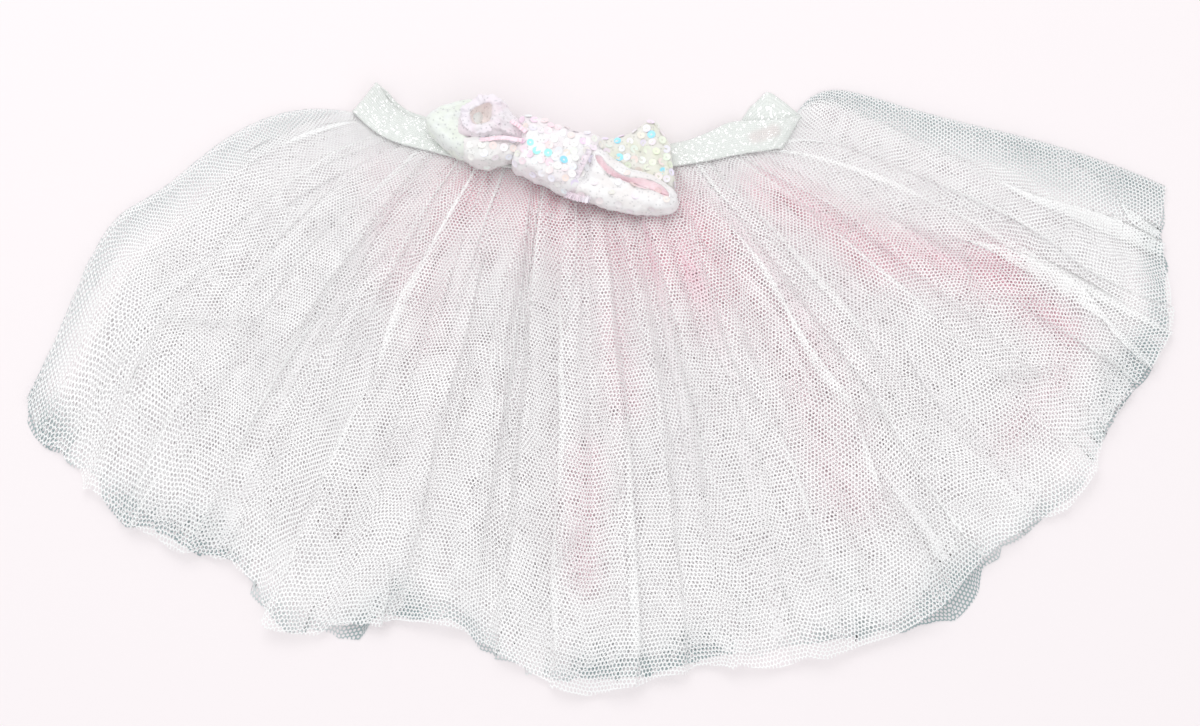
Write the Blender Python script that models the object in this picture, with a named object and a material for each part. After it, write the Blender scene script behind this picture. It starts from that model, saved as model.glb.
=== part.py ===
"""A child's ballet tutu, laid flat on its back.

Three gathered net skirts hang from one elastic waistband, and a sequinned bow is sewn to the front of the band.
Each skirt is one strip of net joined in a ring, so laid flat it is a flattened tube: a front ply and a back ply
that meet in a rounded fold at each side. The skirts lie inside one another and the bow lies on the band.

Metres, +Z up, the waist towards +Y. The origin is the bottom centre of the whole tutu.
"""

from math import atan2, copysign, cos, exp, pi, radians, sin, tau
from typing import NamedTuple

import bmesh
import bpy
import numpy as np
from mathutils import Matrix, Vector

# Waist: the lower edge of the band lies on a sagging arc.
WAIST_HALF_CHORD = 0.114
WAIST_SAG = 0.028
WAIST_MIDDLE = Vector((-0.0124, 0.1098))
WAIST_RADIUS = (WAIST_HALF_CHORD**2 + WAIST_SAG**2) / (2 * WAIST_SAG)
WAIST_HALF_ANGLE = atan2(WAIST_HALF_CHORD, WAIST_RADIUS - WAIST_SAG)
WAIST_CENTRE = WAIST_MIDDLE + Vector((0.0, WAIST_RADIUS))
SHIFT_PLACES = (-1.0, -0.90, -0.60, 0.50, 0.72, 0.90, 1.0)
SHIFT_RIGHT = (0.0, 0.0, 0.0, 0.0, 0.0, -0.0040, -0.0090)
SHIFT_DOWN = (0.0, 0.0045, 0.0042, 0.0067, 0.0093, 0.0150, 0.0195)

# Band: knitted elastic joined in a ring.
BAND_WIDTH = 0.016
ELASTIC = 0.0015
BAND_FRONT_LIFT = 0.0050
BAND_FRONT_SLUMP = 0.0015
MOUTH_PLACES = (-1.0, -0.5, 0.60, 0.85, 1.0)
MOUTH_OPEN = (0.0025, 0.0005, 0.0005, 0.0090, 0.0020)
LEAN_PLACES = (-1.0, -0.80, 0.75, 1.0)
LEAN_RIGHT = (0.0070, 0.0, 0.0, 0.0170)
SEAM_GAP = 0.0003

# Skirt outline: the hem fans out around one centre.
FAN_CENTRE = Vector((-0.0104, 0.1492))
HEM_MIDDLE_ANGLE = radians(270.0)
HEM_SWING = radians(70.25)
HEM_SKEW = radians(10.25)
SIDE_BULGE_LEFT = 0.095
SIDE_BULGE_RIGHT = 0.036
BULGE_POWER = 3
PUFF = 0.026
INNER_PUFF = 0.0
PUFF_DOWN = 0.12
PUFF_FROM = 0.80
SHOULDER = 0.019
SHOULDER_DOWN = 0.77
SHOULDER_SPREAD = 0.13

# Net plies and the air between them.
NET_AT_WAIST = 0.0010
NET = 0.0015
AIR_AT_WAIST = 0.0003
AIR_MOST = 0.0034
VALLEY_SHARE = 0.42
SIDE_TAPER_FROM = 0.72
SIDE_TAPER_TO = 0.30
SIDE_ROUND = 0.0062
SIDE_STEPS = 3
PLIES = 6
ACROSS_MOST = 0.90


class Fold(NamedTuple):
    """One large fold of the skirts: where it lies across, how far its hem reaches and how high it stands."""

    across: float
    reach: float
    rise: float


class Station(NamedTuple):
    """One ring of a skirt: its share of the way from waist to hem, and how far the plies open there."""

    down: float
    opened: float


class Skirt(NamedTuple):
    """One net skirt: its place counted from outside, length as a share, inset at the hem's sides, and right puff."""

    name: str
    layer: int
    length: float
    inset: float
    puff: float
    colour: tuple


FOLDS = (
    Fold(across=-1.00, reach=0.321, rise=0.30),
    Fold(across=-0.93, reach=0.325, rise=0.55),
    Fold(across=-0.84, reach=0.319, rise=0.70),
    Fold(across=-0.75, reach=0.319, rise=0.60),
    Fold(across=-0.65, reach=0.312, rise=0.85),
    Fold(across=-0.54, reach=0.299, rise=0.65),
    Fold(across=-0.42, reach=0.312, rise=1.00),
    Fold(across=-0.32, reach=0.296, rise=0.60),
    Fold(across=-0.22, reach=0.282, rise=0.75),
    Fold(across=-0.12, reach=0.293, rise=0.95),
    Fold(across=-0.03, reach=0.303, rise=0.70),
    Fold(across=0.07, reach=0.304, rise=0.90),
    Fold(across=0.16, reach=0.300, rise=0.65),
    Fold(across=0.26, reach=0.307, rise=1.00),
    Fold(across=0.36, reach=0.315, rise=0.75),
    Fold(across=0.46, reach=0.323, rise=0.95),
    Fold(across=0.54, reach=0.314, rise=0.60),
    Fold(across=0.66, reach=0.325, rise=0.85),
    Fold(across=0.74, reach=0.318, rise=0.60),
    Fold(across=0.83, reach=0.327, rise=0.75),
    Fold(across=0.93, reach=0.304, rise=0.50),
    Fold(across=1.00, reach=0.303, rise=0.30),
)

STATIONS = (
    Station(down=0.0, opened=0.00),
    Station(down=0.08, opened=0.30),
    Station(down=0.22, opened=0.85),
    Station(down=0.42, opened=1.00),
    Station(down=0.64, opened=0.90),
    Station(down=0.84, opened=0.70),
    Station(down=1.0, opened=0.50),
)

SKIRTS = (
    Skirt("outer_net", layer=0, length=1.00, inset=0.0, puff=PUFF, colour=(0.93, 0.95, 0.94)),
    Skirt("middle_net", layer=1, length=0.965, inset=0.014, puff=PUFF, colour=(0.95, 0.95, 0.95)),
    Skirt("inner_net", layer=2, length=0.84, inset=0.022, puff=INNER_PUFF, colour=(0.90, 0.66, 0.72)),
)

# Bow: placed by its own frame, along the bow, across it and up from what it lies on.
BOW_CENTRE = Vector((-0.0235, 0.1110, 0.0100))
BOW_TURN = radians(-21.0)
BOW_TILT = radians(-7.0)
BOW_SIDES = 24
BOW_CORNER = 0.68
LOBE_SIDES = ((0.0, 0.86), (0.22, 0.98), (0.5, 1.0), (0.8, 0.88))
LOBE_TOP = 0.6
LOBE_LIP = 0.0025


class Lobe(NamedTuple):
    """One folded piece of the bow, in the bow's frame.

    It has a span along and across the bow, a base and a height, a taper at each of its ends, a small turn,
    and the length, width and depth of its mouth where its folded edges stand open.
    """

    name: str
    along: tuple
    across: tuple
    base: float
    height: float
    taper: tuple
    turn: float
    mouth: tuple
    colour: tuple


LOBES = (
    Lobe(
        name="bow_knot", along=(-0.0190, 0.0190), across=(-0.0128, 0.0140), base=-0.0005, height=0.0160,
        taper=(0.84, 0.92), turn=0.0, mouth=(), colour=(0.93, 0.90, 0.93),
    ),
    Lobe(
        name="bow_loop_left_front", along=(-0.0530, -0.0194), across=(-0.0045, 0.0190), base=0.0, height=0.0160,
        taper=(1.0, 0.70), turn=0.0, mouth=(0.0130, 0.0080, 0.0080), colour=(0.93, 0.88, 0.93),
    ),
    Lobe(
        name="bow_loop_left_low", along=(-0.0480, -0.0194), across=(-0.0180, -0.0051), base=-0.0020,
        height=0.0120, taper=(1.0, 0.75), turn=0.0, mouth=(), colour=(0.92, 0.92, 0.90),
    ),
    Lobe(
        name="bow_loop_left_back", along=(-0.0680, -0.0535), across=(-0.0130, 0.0105), base=-0.0035,
        height=0.0110, taper=(0.60, 1.0), turn=0.0, mouth=(), colour=(0.90, 0.94, 0.91),
    ),
    Lobe(
        name="bow_loop_right_front", along=(0.0195, 0.0655), across=(-0.0165, 0.0075), base=0.0061,
        height=0.0160, taper=(0.85, 0.90), turn=-0.05, mouth=(0.0380, 0.0034, 0.0090),
        colour=(0.93, 0.90, 0.90),
    ),
    Lobe(
        name="bow_loop_right_back", along=(0.0198, 0.0570), across=(0.0092, 0.0310), base=0.0018,
        height=0.0110, taper=(0.55, 1.0), turn=0.0, mouth=(), colour=(0.89, 0.90, 0.83),
    ),
)


def clear_scene() -> None:
    for obj in list(bpy.data.objects):
        bpy.data.objects.remove(obj, do_unlink=True)


def fabric(name: str, colour: tuple, roughness: float = 0.85) -> bpy.types.Material:
    """A plain cloth finish in one colour."""
    material = bpy.data.materials.new(name)
    material.use_nodes = True
    shader = material.node_tree.nodes["Principled BSDF"]
    shader.inputs["Base Color"].default_value = (*colour, 1.0)
    shader.inputs["Roughness"].default_value = roughness
    shader.inputs["Metallic"].default_value = 0.0
    return material


def sew_rings(name: str, rings: list, looped: bool, colour: tuple) -> bpy.types.Object:
    """Makes one closed body from rings of points.

    Looped rings go down the outside of a wall and back up its inside, so the last joins the first.
    Rings that are not looped end in a flat cap at each end.
    """
    sides = len(rings[0])
    steps = len(rings) if looped else len(rings) - 1
    bm = bmesh.new()
    bmesh.ops.create_grid(bm, x_segments=sides, y_segments=steps, size=0.5)
    inward = []
    for face in bm.faces:
        if looped and face.calc_center_median().y > 0.0:
            inward.append(face)
    outward = [face for face in bm.faces if face not in set(inward)]
    bmesh.ops.triangulate(bm, faces=outward, quad_method="FIXED")
    bmesh.ops.triangulate(bm, faces=inward, quad_method="ALTERNATE")
    for vert in bm.verts:
        side = round((vert.co.x + 0.5) * sides) % sides
        step = round((vert.co.y + 0.5) * steps) % len(rings)
        vert.co = rings[step][side]
    bmesh.ops.remove_doubles(bm, verts=bm.verts, dist=1e-6)
    if not looped:
        bmesh.ops.holes_fill(bm, edges=bm.edges, sides=0)
    bmesh.ops.recalc_face_normals(bm, faces=bm.faces)
    mesh = bpy.data.meshes.new(name)
    bm.to_mesh(mesh)
    bm.free()
    mesh.shade_smooth()
    mesh.set_sharp_from_angle(angle=radians(50.0))
    mesh.materials.append(fabric(name, colour))
    obj = bpy.data.objects.new(name, mesh)
    bpy.context.scene.collection.objects.link(obj)
    return obj


def waist_point(across: float, below: float = 0.0) -> Vector:
    """A point of the waist line, across from -1 at the left to 1 at the right, moved down by below.

    The sewn edge follows the waist arc, sagging a little below it and falling away at the right end.
    """
    angle = -pi / 2 + across * WAIST_HALF_ANGLE
    right = float(np.interp(across, SHIFT_PLACES, SHIFT_RIGHT))
    down = float(np.interp(across, SHIFT_PLACES, SHIFT_DOWN))
    shift = Vector((right, -down))
    return WAIST_CENTRE + (WAIST_RADIUS + below) * Vector((cos(angle), sin(angle))) + shift


def hem_point(across: float) -> Vector:
    """The outermost hem, read between the folds' own reaches."""
    angle = HEM_MIDDLE_ANGLE + HEM_SWING * across + HEM_SKEW * across**2
    reach = np.interp(across, [fold.across for fold in FOLDS], [fold.reach for fold in FOLDS])
    return FAN_CENTRE + float(reach) * Vector((cos(angle), sin(angle)))


def skirt_point(across: float, down: float, puff: float) -> Vector:
    """The skirt's plan: a straight run from band to hem that swells at each side and puffs up at the right.

    The left side also has a shoulder near the hem.
    """
    bulge = SIDE_BULGE_LEFT if across < 0 else SIDE_BULGE_RIGHT
    shoulder = SHOULDER * exp(-(((down - SHOULDER_DOWN) / SHOULDER_SPREAD) ** 2)) if across < 0 else 0.0
    swell = (2 * down * (1 - down) * bulge + shoulder) * abs(across) ** BULGE_POWER
    puffed = max(0.0, across - PUFF_FROM) / (1 - PUFF_FROM) * puff
    swell += puffed * down / PUFF_DOWN * exp(1 - down / PUFF_DOWN)
    return waist_point(across, SEAM_GAP).lerp(hem_point(across), down) + Vector((0.0, swell))


def half_width(down: float) -> float:
    """Half the length of the skirt's ring at this station, measured along it."""
    places = np.linspace(-1.0, 1.0, 41)
    points = [skirt_point(float(place), down, PUFF) for place in places]
    return sum((after - before).length for before, after in zip(points, points[1:])) / 2


def fold_samples() -> list:
    """Where the front ply is sampled: on every fold and in the valley between each two."""
    crests = [fold.across for fold in FOLDS]
    valleys = [(before + after) / 2 for before, after in zip(crests, crests[1:])]
    return [place for place in sorted(crests + valleys) if abs(place) <= ACROSS_MOST]


def fold_height(across: float) -> float:
    """How high the folds stand here, from 0 to 1, with a valley half-way between two folds."""
    crests = [fold.across for fold in FOLDS]
    after = int(np.clip(np.searchsorted(crests, across), 1, len(FOLDS) - 1))
    left, right = FOLDS[after - 1], FOLDS[after]
    share = (across - left.across) / (right.across - left.across)
    ridge = left.rise + (right.rise - left.rise) * share
    valley = min(left.rise, right.rise) * VALLEY_SHARE
    return valley + (ridge - valley) * abs(cos(pi * share))


def air(across: float, opened: float) -> float:
    """The air between two plies, straight between the sampled places so that no ply cuts the next."""
    grid = [-1.0, *fold_samples(), 1.0]
    tapers = np.interp(np.abs(grid), [SIDE_TAPER_FROM, 1.0], [1.0, SIDE_TAPER_TO])
    gaps = [fold_height(place) * taper for place, taper in zip(grid, tapers)]
    return AIR_AT_WAIST + opened * AIR_MOST * float(np.interp(across, grid, gaps))


class PlyPoint(NamedTuple):
    """One point of a ring: its place across, its quarter turn round the side fold, and its ply."""

    across: float
    turned: float
    front: bool


def ring_places(half: float, inset: float, rounding: float) -> list:
    """The places round one ring: along the front, round the right fold, back along the back, round the left fold."""
    front = fold_samples()
    back = front[::-2]
    turns = [(1 - cos(step * pi / 2 / SIDE_STEPS), step / SIDE_STEPS) for step in range(SIDE_STEPS + 1)]
    places = [PlyPoint(place, 0.0, True) for place in front]
    for depth, _ in turns[::-1]:
        places.append(PlyPoint(1 - (inset + rounding * depth) / half, 1 - depth, True))
    for depth, _ in turns[1:]:
        places.append(PlyPoint(1 - (inset + rounding * depth) / half, 1 - depth, False))
    places += [PlyPoint(place, 0.0, False) for place in back]
    for depth, _ in turns[::-1]:
        places.append(PlyPoint(-1 + (inset + rounding * depth) / half, 1 - depth, False))
    for depth, _ in turns[1:]:
        places.append(PlyPoint(-1 + (inset + rounding * depth) / half, 1 - depth, True))
    return places


def fullness(turned: float) -> float:
    """The height left at a place round the side fold: all of it on the ply, none at the fold's edge."""
    return (1 - turned**2) ** 0.5


def stations_of(skirt: Skirt) -> list:
    """The stations above the skirt's own hem, and one more at that hem."""
    opened = np.interp(skirt.length, [row.down for row in STATIONS], [row.opened for row in STATIONS])
    above = [station for station in STATIONS if station.down < skirt.length]
    return above + [Station(skirt.length, float(opened))]


def skirt_ring(skirt: Skirt, station: Station, inside: bool) -> list:
    """One ring of a skirt, on the outside or on the inside of its wall."""
    net = NET_AT_WAIST + (NET - NET_AT_WAIST) * min(1.0, station.down / STATIONS[2].down)
    half = half_width(station.down)
    wall = net if inside else 0.0
    inset = skirt.layer * (net + AIR_AT_WAIST) + skirt.inset * station.down + wall
    ring = []
    for place in ring_places(half, inset, SIDE_ROUND - skirt.layer * net - wall):
        gap = air(place.across, station.opened)
        lowest = skirt.layer * (net + gap) + wall
        highest = (PLIES - skirt.layer) * net + (PLIES - 1 - skirt.layer) * gap - wall
        middle = (lowest + highest) / 2
        end = highest if place.front else lowest
        height = middle + (end - middle) * fullness(place.turned)
        plan = skirt_point(place.across, station.down, skirt.puff)
        ring.append(Vector((plan.x, plan.y, height)))
    return ring


def make_skirt(skirt: Skirt) -> bpy.types.Object:
    """One net skirt: a flattened tube with a wall, open at the waist and at the hem."""
    stations = stations_of(skirt)
    outside = [skirt_ring(skirt, station, inside=False) for station in stations]
    inside = [skirt_ring(skirt, station, inside=True) for station in reversed(stations)]
    return sew_rings(skirt.name, outside + inside, True, skirt.colour)


def band_ring(up: float, inside: bool) -> list:
    """One ring of the elastic, up from 0 at its sewn edge to 1 at its free edge."""
    wall = ELASTIC if inside else 0.0
    ring = []
    for place in ring_places(WAIST_HALF_CHORD, wall, SIDE_ROUND - wall):
        mouth = 0.0 if place.front else float(np.interp(place.across, MOUTH_PLACES, MOUTH_OPEN))
        lean = up * float(np.interp(place.across, LEAN_PLACES, LEAN_RIGHT))
        rise = up * (BAND_WIDTH + mouth)
        lowest = wall
        highest = BAND_FRONT_LIFT - up * BAND_FRONT_SLUMP + ELASTIC - wall
        middle = (lowest + highest) / 2
        end = highest if place.front else lowest
        height = middle + (end - middle) * fullness(place.turned)
        plan = waist_point(place.across, -rise)
        ring.append(Vector((plan.x + lean, plan.y, height)))
    return ring


def make_band() -> bpy.types.Object:
    """The elastic waistband, a flattened ring whose back ply shows past the front one at the ends."""
    outside = [band_ring(up, inside=False) for up in (1.0, 0.5, 0.0)]
    inside = [band_ring(up, inside=True) for up in (0.0, 0.5, 1.0)]
    return sew_rings("waistband", outside + inside, True, (0.91, 0.95, 0.93))


def lobe_ring(lobe: Lobe, size: tuple, height: float) -> list:
    """One ring of a bow piece: an oval with full corners, of these half sizes, tapered as the piece is."""
    middle = Vector(((lobe.along[0] + lobe.along[1]) / 2, (lobe.across[0] + lobe.across[1]) / 2))
    turn = Matrix.Rotation(lobe.turn, 2)
    tilt = Matrix.Rotation(BOW_TURN, 4, "Z") @ Matrix.Rotation(BOW_TILT, 4, "X")
    bow = Matrix.Translation(BOW_CENTRE) @ tilt
    ring = []
    for side in range(BOW_SIDES):
        angle = tau * side / BOW_SIDES
        along = copysign(abs(cos(angle)) ** BOW_CORNER, cos(angle))
        across = copysign(abs(sin(angle)) ** BOW_CORNER, sin(angle))
        width = lobe.taper[0] + (lobe.taper[1] - lobe.taper[0]) * (along + 1) / 2
        place = middle + turn @ Vector((size[0] * along, size[1] * across * width))
        ring.append(bow @ Vector((place.x, place.y, lobe.base + height)))
    return ring


def make_lobe(lobe: Lobe) -> bpy.types.Object:
    """One rounded bow piece, with a sunk mouth where its folded edges stand open."""
    half = ((lobe.along[1] - lobe.along[0]) / 2, (lobe.across[1] - lobe.across[0]) / 2)
    rings = [lobe_ring(lobe, (half[0] * wide, half[1] * wide), lobe.height * up) for up, wide in LOBE_SIDES]
    if not lobe.mouth:
        rings.append(lobe_ring(lobe, (half[0] * LOBE_TOP, half[1] * LOBE_TOP), lobe.height))
        return sew_rings(lobe.name, rings, False, lobe.colour)
    length, width, depth = lobe.mouth
    lip = (length / 2 + LOBE_LIP, width / 2 + LOBE_LIP)
    rings.append(lobe_ring(lobe, lip, lobe.height))
    rings.append(lobe_ring(lobe, (length / 2, width / 2), lobe.height - LOBE_LIP / 2))
    rings.append(lobe_ring(lobe, (length / 2, width / 2), lobe.height - depth))
    return sew_rings(lobe.name, rings, False, lobe.colour)


def main() -> None:
    clear_scene()
    for skirt in SKIRTS:
        make_skirt(skirt)
    make_band()
    for lobe in LOBES:
        make_lobe(lobe)


main()
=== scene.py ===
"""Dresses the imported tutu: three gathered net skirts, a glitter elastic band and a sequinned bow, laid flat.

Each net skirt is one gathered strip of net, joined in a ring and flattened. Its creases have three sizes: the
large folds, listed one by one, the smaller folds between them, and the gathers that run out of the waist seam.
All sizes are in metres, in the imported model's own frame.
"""

import logging
from dataclasses import dataclass, field
from enum import Enum
from math import cos, pi, radians, sin, sqrt, tau
from typing import NamedTuple, Optional

import bmesh
import bpy
import numpy as np
from mathutils import Matrix, Vector, noise
from mathutils.bvhtree import BVHTree


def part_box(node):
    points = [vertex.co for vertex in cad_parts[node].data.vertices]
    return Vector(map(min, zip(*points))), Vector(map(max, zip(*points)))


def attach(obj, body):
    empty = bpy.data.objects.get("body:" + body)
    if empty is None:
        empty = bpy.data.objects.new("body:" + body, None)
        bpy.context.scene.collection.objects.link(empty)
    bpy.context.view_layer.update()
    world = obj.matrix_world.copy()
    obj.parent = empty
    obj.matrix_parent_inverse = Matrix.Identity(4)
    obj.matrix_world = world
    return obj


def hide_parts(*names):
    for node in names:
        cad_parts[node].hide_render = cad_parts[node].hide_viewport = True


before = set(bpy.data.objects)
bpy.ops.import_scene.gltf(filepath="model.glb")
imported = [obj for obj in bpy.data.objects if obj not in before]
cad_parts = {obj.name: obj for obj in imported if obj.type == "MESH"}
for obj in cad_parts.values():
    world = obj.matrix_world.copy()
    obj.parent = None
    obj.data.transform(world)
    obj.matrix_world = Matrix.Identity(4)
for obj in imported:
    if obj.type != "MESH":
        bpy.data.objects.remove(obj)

LOG = logging.getLogger("tutu")
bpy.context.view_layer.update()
CLOTH_MAP = "Cloth"
TINT = "tint"
# Mask for the nets' pink and for the band's painted shade.
PINK_AND_SHADE = "blush"
RIM_SHADE = "rim_shade"


# ------------------------------------------------------------------------------ finishes


class Weaver:
    """Adds nodes to one material and joins them."""

    def __init__(self, name: str) -> None:
        """Starts a material with an empty node tree."""
        self.material = bpy.data.materials.new(name)
        self.material.use_nodes = True
        self.tree = self.material.node_tree
        self.tree.nodes.clear()

    def add(self, kind: str, settings: Optional[dict] = None, **sockets: object) -> bpy.types.Node:
        """Adds one node.

        Args:
            kind: The node's type, without its ShaderNode prefix.
            settings: The node's own properties.
            sockets: Input values or links by the socket's name, with _ for a space.

        Returns:
            The new node.
        """
        node = self.tree.nodes.new("ShaderNode" + kind)
        for key, value in (settings or {}).items():
            setattr(node, key, value)
        for key, value in sockets.items():
            self.feed(node.inputs[key.replace("_", " ")], value)
        return node

    def feed(self, socket: bpy.types.NodeSocket, value: object) -> None:
        """Links a socket to another, or sets its value."""
        if isinstance(value, bpy.types.NodeSocket):
            self.tree.links.new(value, socket)
        else:
            socket.default_value = value

    def math(self, operation: str, *values: object) -> bpy.types.NodeSocket:
        """Returns the result of a Math node on these values or links."""
        node = self.tree.nodes.new("ShaderNodeMath")
        node.operation = operation
        for socket, value in zip(node.inputs, values):
            self.feed(socket, value)
        return node.outputs[0]

    def vector(self, operation: str, *values: object) -> bpy.types.NodeSocket:
        """Returns the result of a Vector Math node: a number for a length, else a vector."""
        node = self.tree.nodes.new("ShaderNodeVectorMath")
        node.operation = operation
        for socket, value in zip(node.inputs, values):
            self.feed(socket, value)
        return node.outputs["Value" if operation == "LENGTH" else "Vector"]

    def ease(
        self, value: object, low: float, high: float, start: float = 0.0, end: float = 1.0
    ) -> bpy.types.NodeSocket:
        """Returns value mapped smoothly from low..high onto start..end."""
        ends = {"From_Min": low, "From_Max": high, "To_Min": start, "To_Max": end}
        node = self.add("MapRange", {"interpolation_type": "SMOOTHSTEP"}, Value=value, **ends)
        return node.outputs["Result"]

    def blend(self, share: object, first: object, second: object) -> bpy.types.NodeSocket:
        """Returns the mix of two colours."""
        node = self.add("Mix", {"data_type": "RGBA"})
        self.feed(node.inputs["Factor"], share)
        self.feed(node.inputs[6], first)
        self.feed(node.inputs[7], second)
        return node.outputs[2]

    def mix(self, share: object, first: object, second: object) -> bpy.types.NodeSocket:
        """Returns the mix of two shaders."""
        node = self.add("MixShader", Fac=share)
        self.feed(node.inputs[1], first)
        self.feed(node.inputs[2], second)
        return node.outputs[0]

    def bumped(self, height: object, strength: float, distance: float) -> bpy.types.NodeSocket:
        """Returns the normal of a surface with this height as its bump."""
        return self.add("Bump", Strength=strength, Distance=distance, Height=height).outputs["Normal"]

    def noise(self, place: object, scale: float, detail: float = 2.0) -> bpy.types.NodeSocket:
        """Returns a noise value from 0 to 1 at this place."""
        node = self.add("TexNoise", Vector=place, Scale=scale, Detail=detail)
        return node.outputs["Fac"]

    def cloth_place(self) -> bpy.types.NodeSocket:
        """Returns the place on the cut cloth, in metres."""
        return self.add("UVMap", {"uv_map": CLOTH_MAP}).outputs["UV"]

    def finish(self, shader: bpy.types.NodeSocket) -> bpy.types.Material:
        """Joins the shader to the output and returns the material."""
        output = self.tree.nodes.new("ShaderNodeOutputMaterial")
        self.tree.links.new(shader, output.inputs["Surface"])
        return self.material


@dataclass(frozen=True)
class NetFinish:
    """Soft nylon net with hexagonal holes.

    Attributes:
        name: The material's name.
        colour: The thread's colour.
        blush: Its colour where the skirt is pink.
        shade: The painted shade on its rim where no other layer lies with it: dark grey on the white threads.
        pitch: The way from one hole to the next.
        hole: A hole's radius, as a share of the pitch.
        hole_range: How much that share differs over the cloth.
        rim: How soft a hole's rim is, as a share of the pitch.
        wander: How far the rows of holes stray.
        through: The share of light that passes through a thread.
    """

    name: str
    colour: tuple
    blush: tuple
    shade: tuple = (0.34, 0.43, 0.44)
    pitch: float = 0.00195
    hole: float = 0.385
    hole_range: float = 0.03
    rim: float = 0.03
    wander: float = 0.0006
    through: float = 0.20

    def holes(self, weaver: Weaver) -> bpy.types.NodeSocket:
        """Works out the net's lattice of holes.

        Args:
            weaver: The material being made.

        Returns:
            The distance to the nearest hole's middle, as a share of the pitch.
        """
        place = weaver.cloth_place()
        drift = weaver.add("TexNoise", {"noise_dimensions": "2D"}, Vector=place, Scale=55.0, Detail=1.0)
        scaled = weaver.add("VectorMath", {"operation": "SCALE"}, Scale=4 * self.wander)
        weaver.feed(scaled.inputs[0], weaver.vector("SUBTRACT", drift.outputs["Color"], (0.5, 0.5, 0.5)))
        moved = weaver.vector("ADD", place, scaled.outputs["Vector"])
        row_gap = self.pitch * sqrt(3.0)
        cell = weaver.vector("MULTIPLY", moved, (1 / self.pitch, 1 / row_gap, 0.0))
        distances = []
        for offset in ((0.0, 0.0, 0.0), (0.5, 0.5, 0.0)):
            share = weaver.vector("FRACTION", weaver.vector("ADD", cell, offset))
            spot = weaver.vector("SUBTRACT", share, (0.5, 0.5, 0.0))
            flat = weaver.vector("MULTIPLY", spot, (1.0, sqrt(3.0), 0.0))
            distances.append(weaver.vector("LENGTH", flat))
        return weaver.math("MINIMUM", *distances)

    def make(self) -> bpy.types.Material:
        """Returns the net's material: threads that let some light through, round open holes, and painted grey
        shade on its rim.
        """
        weaver = Weaver(self.name)
        near = self.holes(weaver)
        place = weaver.cloth_place()
        patch = weaver.noise(place, 40.0)
        streaks = weaver.noise(weaver.vector("MULTIPLY", place, (55.0, 7.0, 1.0)), 1.0, 2.0)
        size = weaver.ease(patch, 0.3, 0.7, self.hole - self.hole_range, self.hole + self.hole_range)
        thread = weaver.ease(weaver.math("SUBTRACT", near, size), -self.rim, self.rim)
        blush = weaver.add("Attribute", {"attribute_name": PINK_AND_SHADE}).outputs["Fac"]
        share = weaver.math("MULTIPLY", blush, weaver.ease(streaks, 0.30, 0.68, 0.55, 1.15))
        pink = weaver.blend(share, (*self.colour, 1.0), (*self.blush, 1.0))
        # Painted shade: a mask darkens the threads to grey along the rim where only one layer lies.
        rim_shade = weaver.add("Attribute", {"attribute_name": RIM_SHADE}).outputs["Fac"]
        colour = weaver.blend(rim_shade, pink, (*self.shade, 1.0))
        lit = weaver.add(
            "BsdfPrincipled", Base_Color=colour, Roughness=0.62, Normal=weaver.bumped(near, 0.25, 0.0002),
            Sheen_Weight=0.25, Sheen_Roughness=0.4, Specular_IOR_Level=0.35,
        )
        lit_from_behind = weaver.add("BsdfTranslucent", Color=colour)
        body = weaver.mix(self.through, lit.outputs[0], lit_from_behind.outputs[0])
        open_air = weaver.add("BsdfTransparent")
        return weaver.finish(weaver.mix(thread, open_air.outputs[0], body))


@dataclass(frozen=True)
class ElasticFinish:
    """White knitted elastic with glitter thread in its ribs."""

    name: str = "elastic"
    colour: tuple = (0.785, 0.815, 0.79)
    shade: tuple = (0.74, 0.70, 0.69)
    rib: float = 0.0011
    loop: float = 0.0009

    def make(self) -> bpy.types.Material:
        """Returns the material: ribs along the band, loops along each rib, bright flecks, and painted shade in
        the grooves and in the band's hollow.
        """
        weaver = Weaver(self.name)
        place = weaver.cloth_place()
        split = weaver.add("SeparateXYZ", Vector=place)
        rib = weaver.math("SINE", weaver.math("MULTIPLY", split.outputs["Y"], tau / self.rib))
        loop = weaver.math("SINE", weaver.math("MULTIPLY", split.outputs["X"], tau / self.loop))
        knit = weaver.math("ADD", rib, weaver.math("MULTIPLY", loop, 0.7))
        fuzz = weaver.noise(place, 900.0, 3.0)
        height = weaver.math("ADD", weaver.math("MULTIPLY", knit, 0.3), fuzz)
        flecks = weaver.add("TexVoronoi", {"voronoi_dimensions": "2D"}, Vector=place, Scale=1300.0)
        glitter = weaver.add("SeparateColor", Color=flecks.outputs["Color"])
        bright = weaver.math("GREATER_THAN", glitter.outputs[0], 0.86)
        # Painted shade: the knit's grooves are painted ten per cent darker.
        groove_shade = tuple(0.90 * share for share in self.colour)
        base = weaver.blend(weaver.ease(knit, -1.4, 1.4), (*groove_shade, 1.0), (*self.colour, 1.0))
        # Painted shade: the band's hollow is darkened towards a grey-pink and keeps only a quarter of its
        # flecks.
        hollow_shade = weaver.add("Attribute", {"attribute_name": PINK_AND_SHADE}).outputs["Fac"]
        open_share = weaver.math("SUBTRACT", 1.0, weaver.math("MULTIPLY", hollow_shade, 0.75))
        shaded = weaver.blend(hollow_shade, base, (*self.shade, 1.0))
        colour = weaver.blend(weaver.math("MULTIPLY", bright, open_share), shaded, (1.0, 1.0, 1.0, 1.0))
        lit = weaver.add(
            "BsdfPrincipled", Base_Color=colour, Roughness=weaver.ease(bright, 0.0, 1.0, 0.62, 0.16),
            Metallic=weaver.math("MULTIPLY", bright, 0.55), Normal=weaver.bumped(height, 0.55, 0.0004),
            Sheen_Weight=0.3,
        )
        return weaver.finish(lit.outputs[0])


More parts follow.
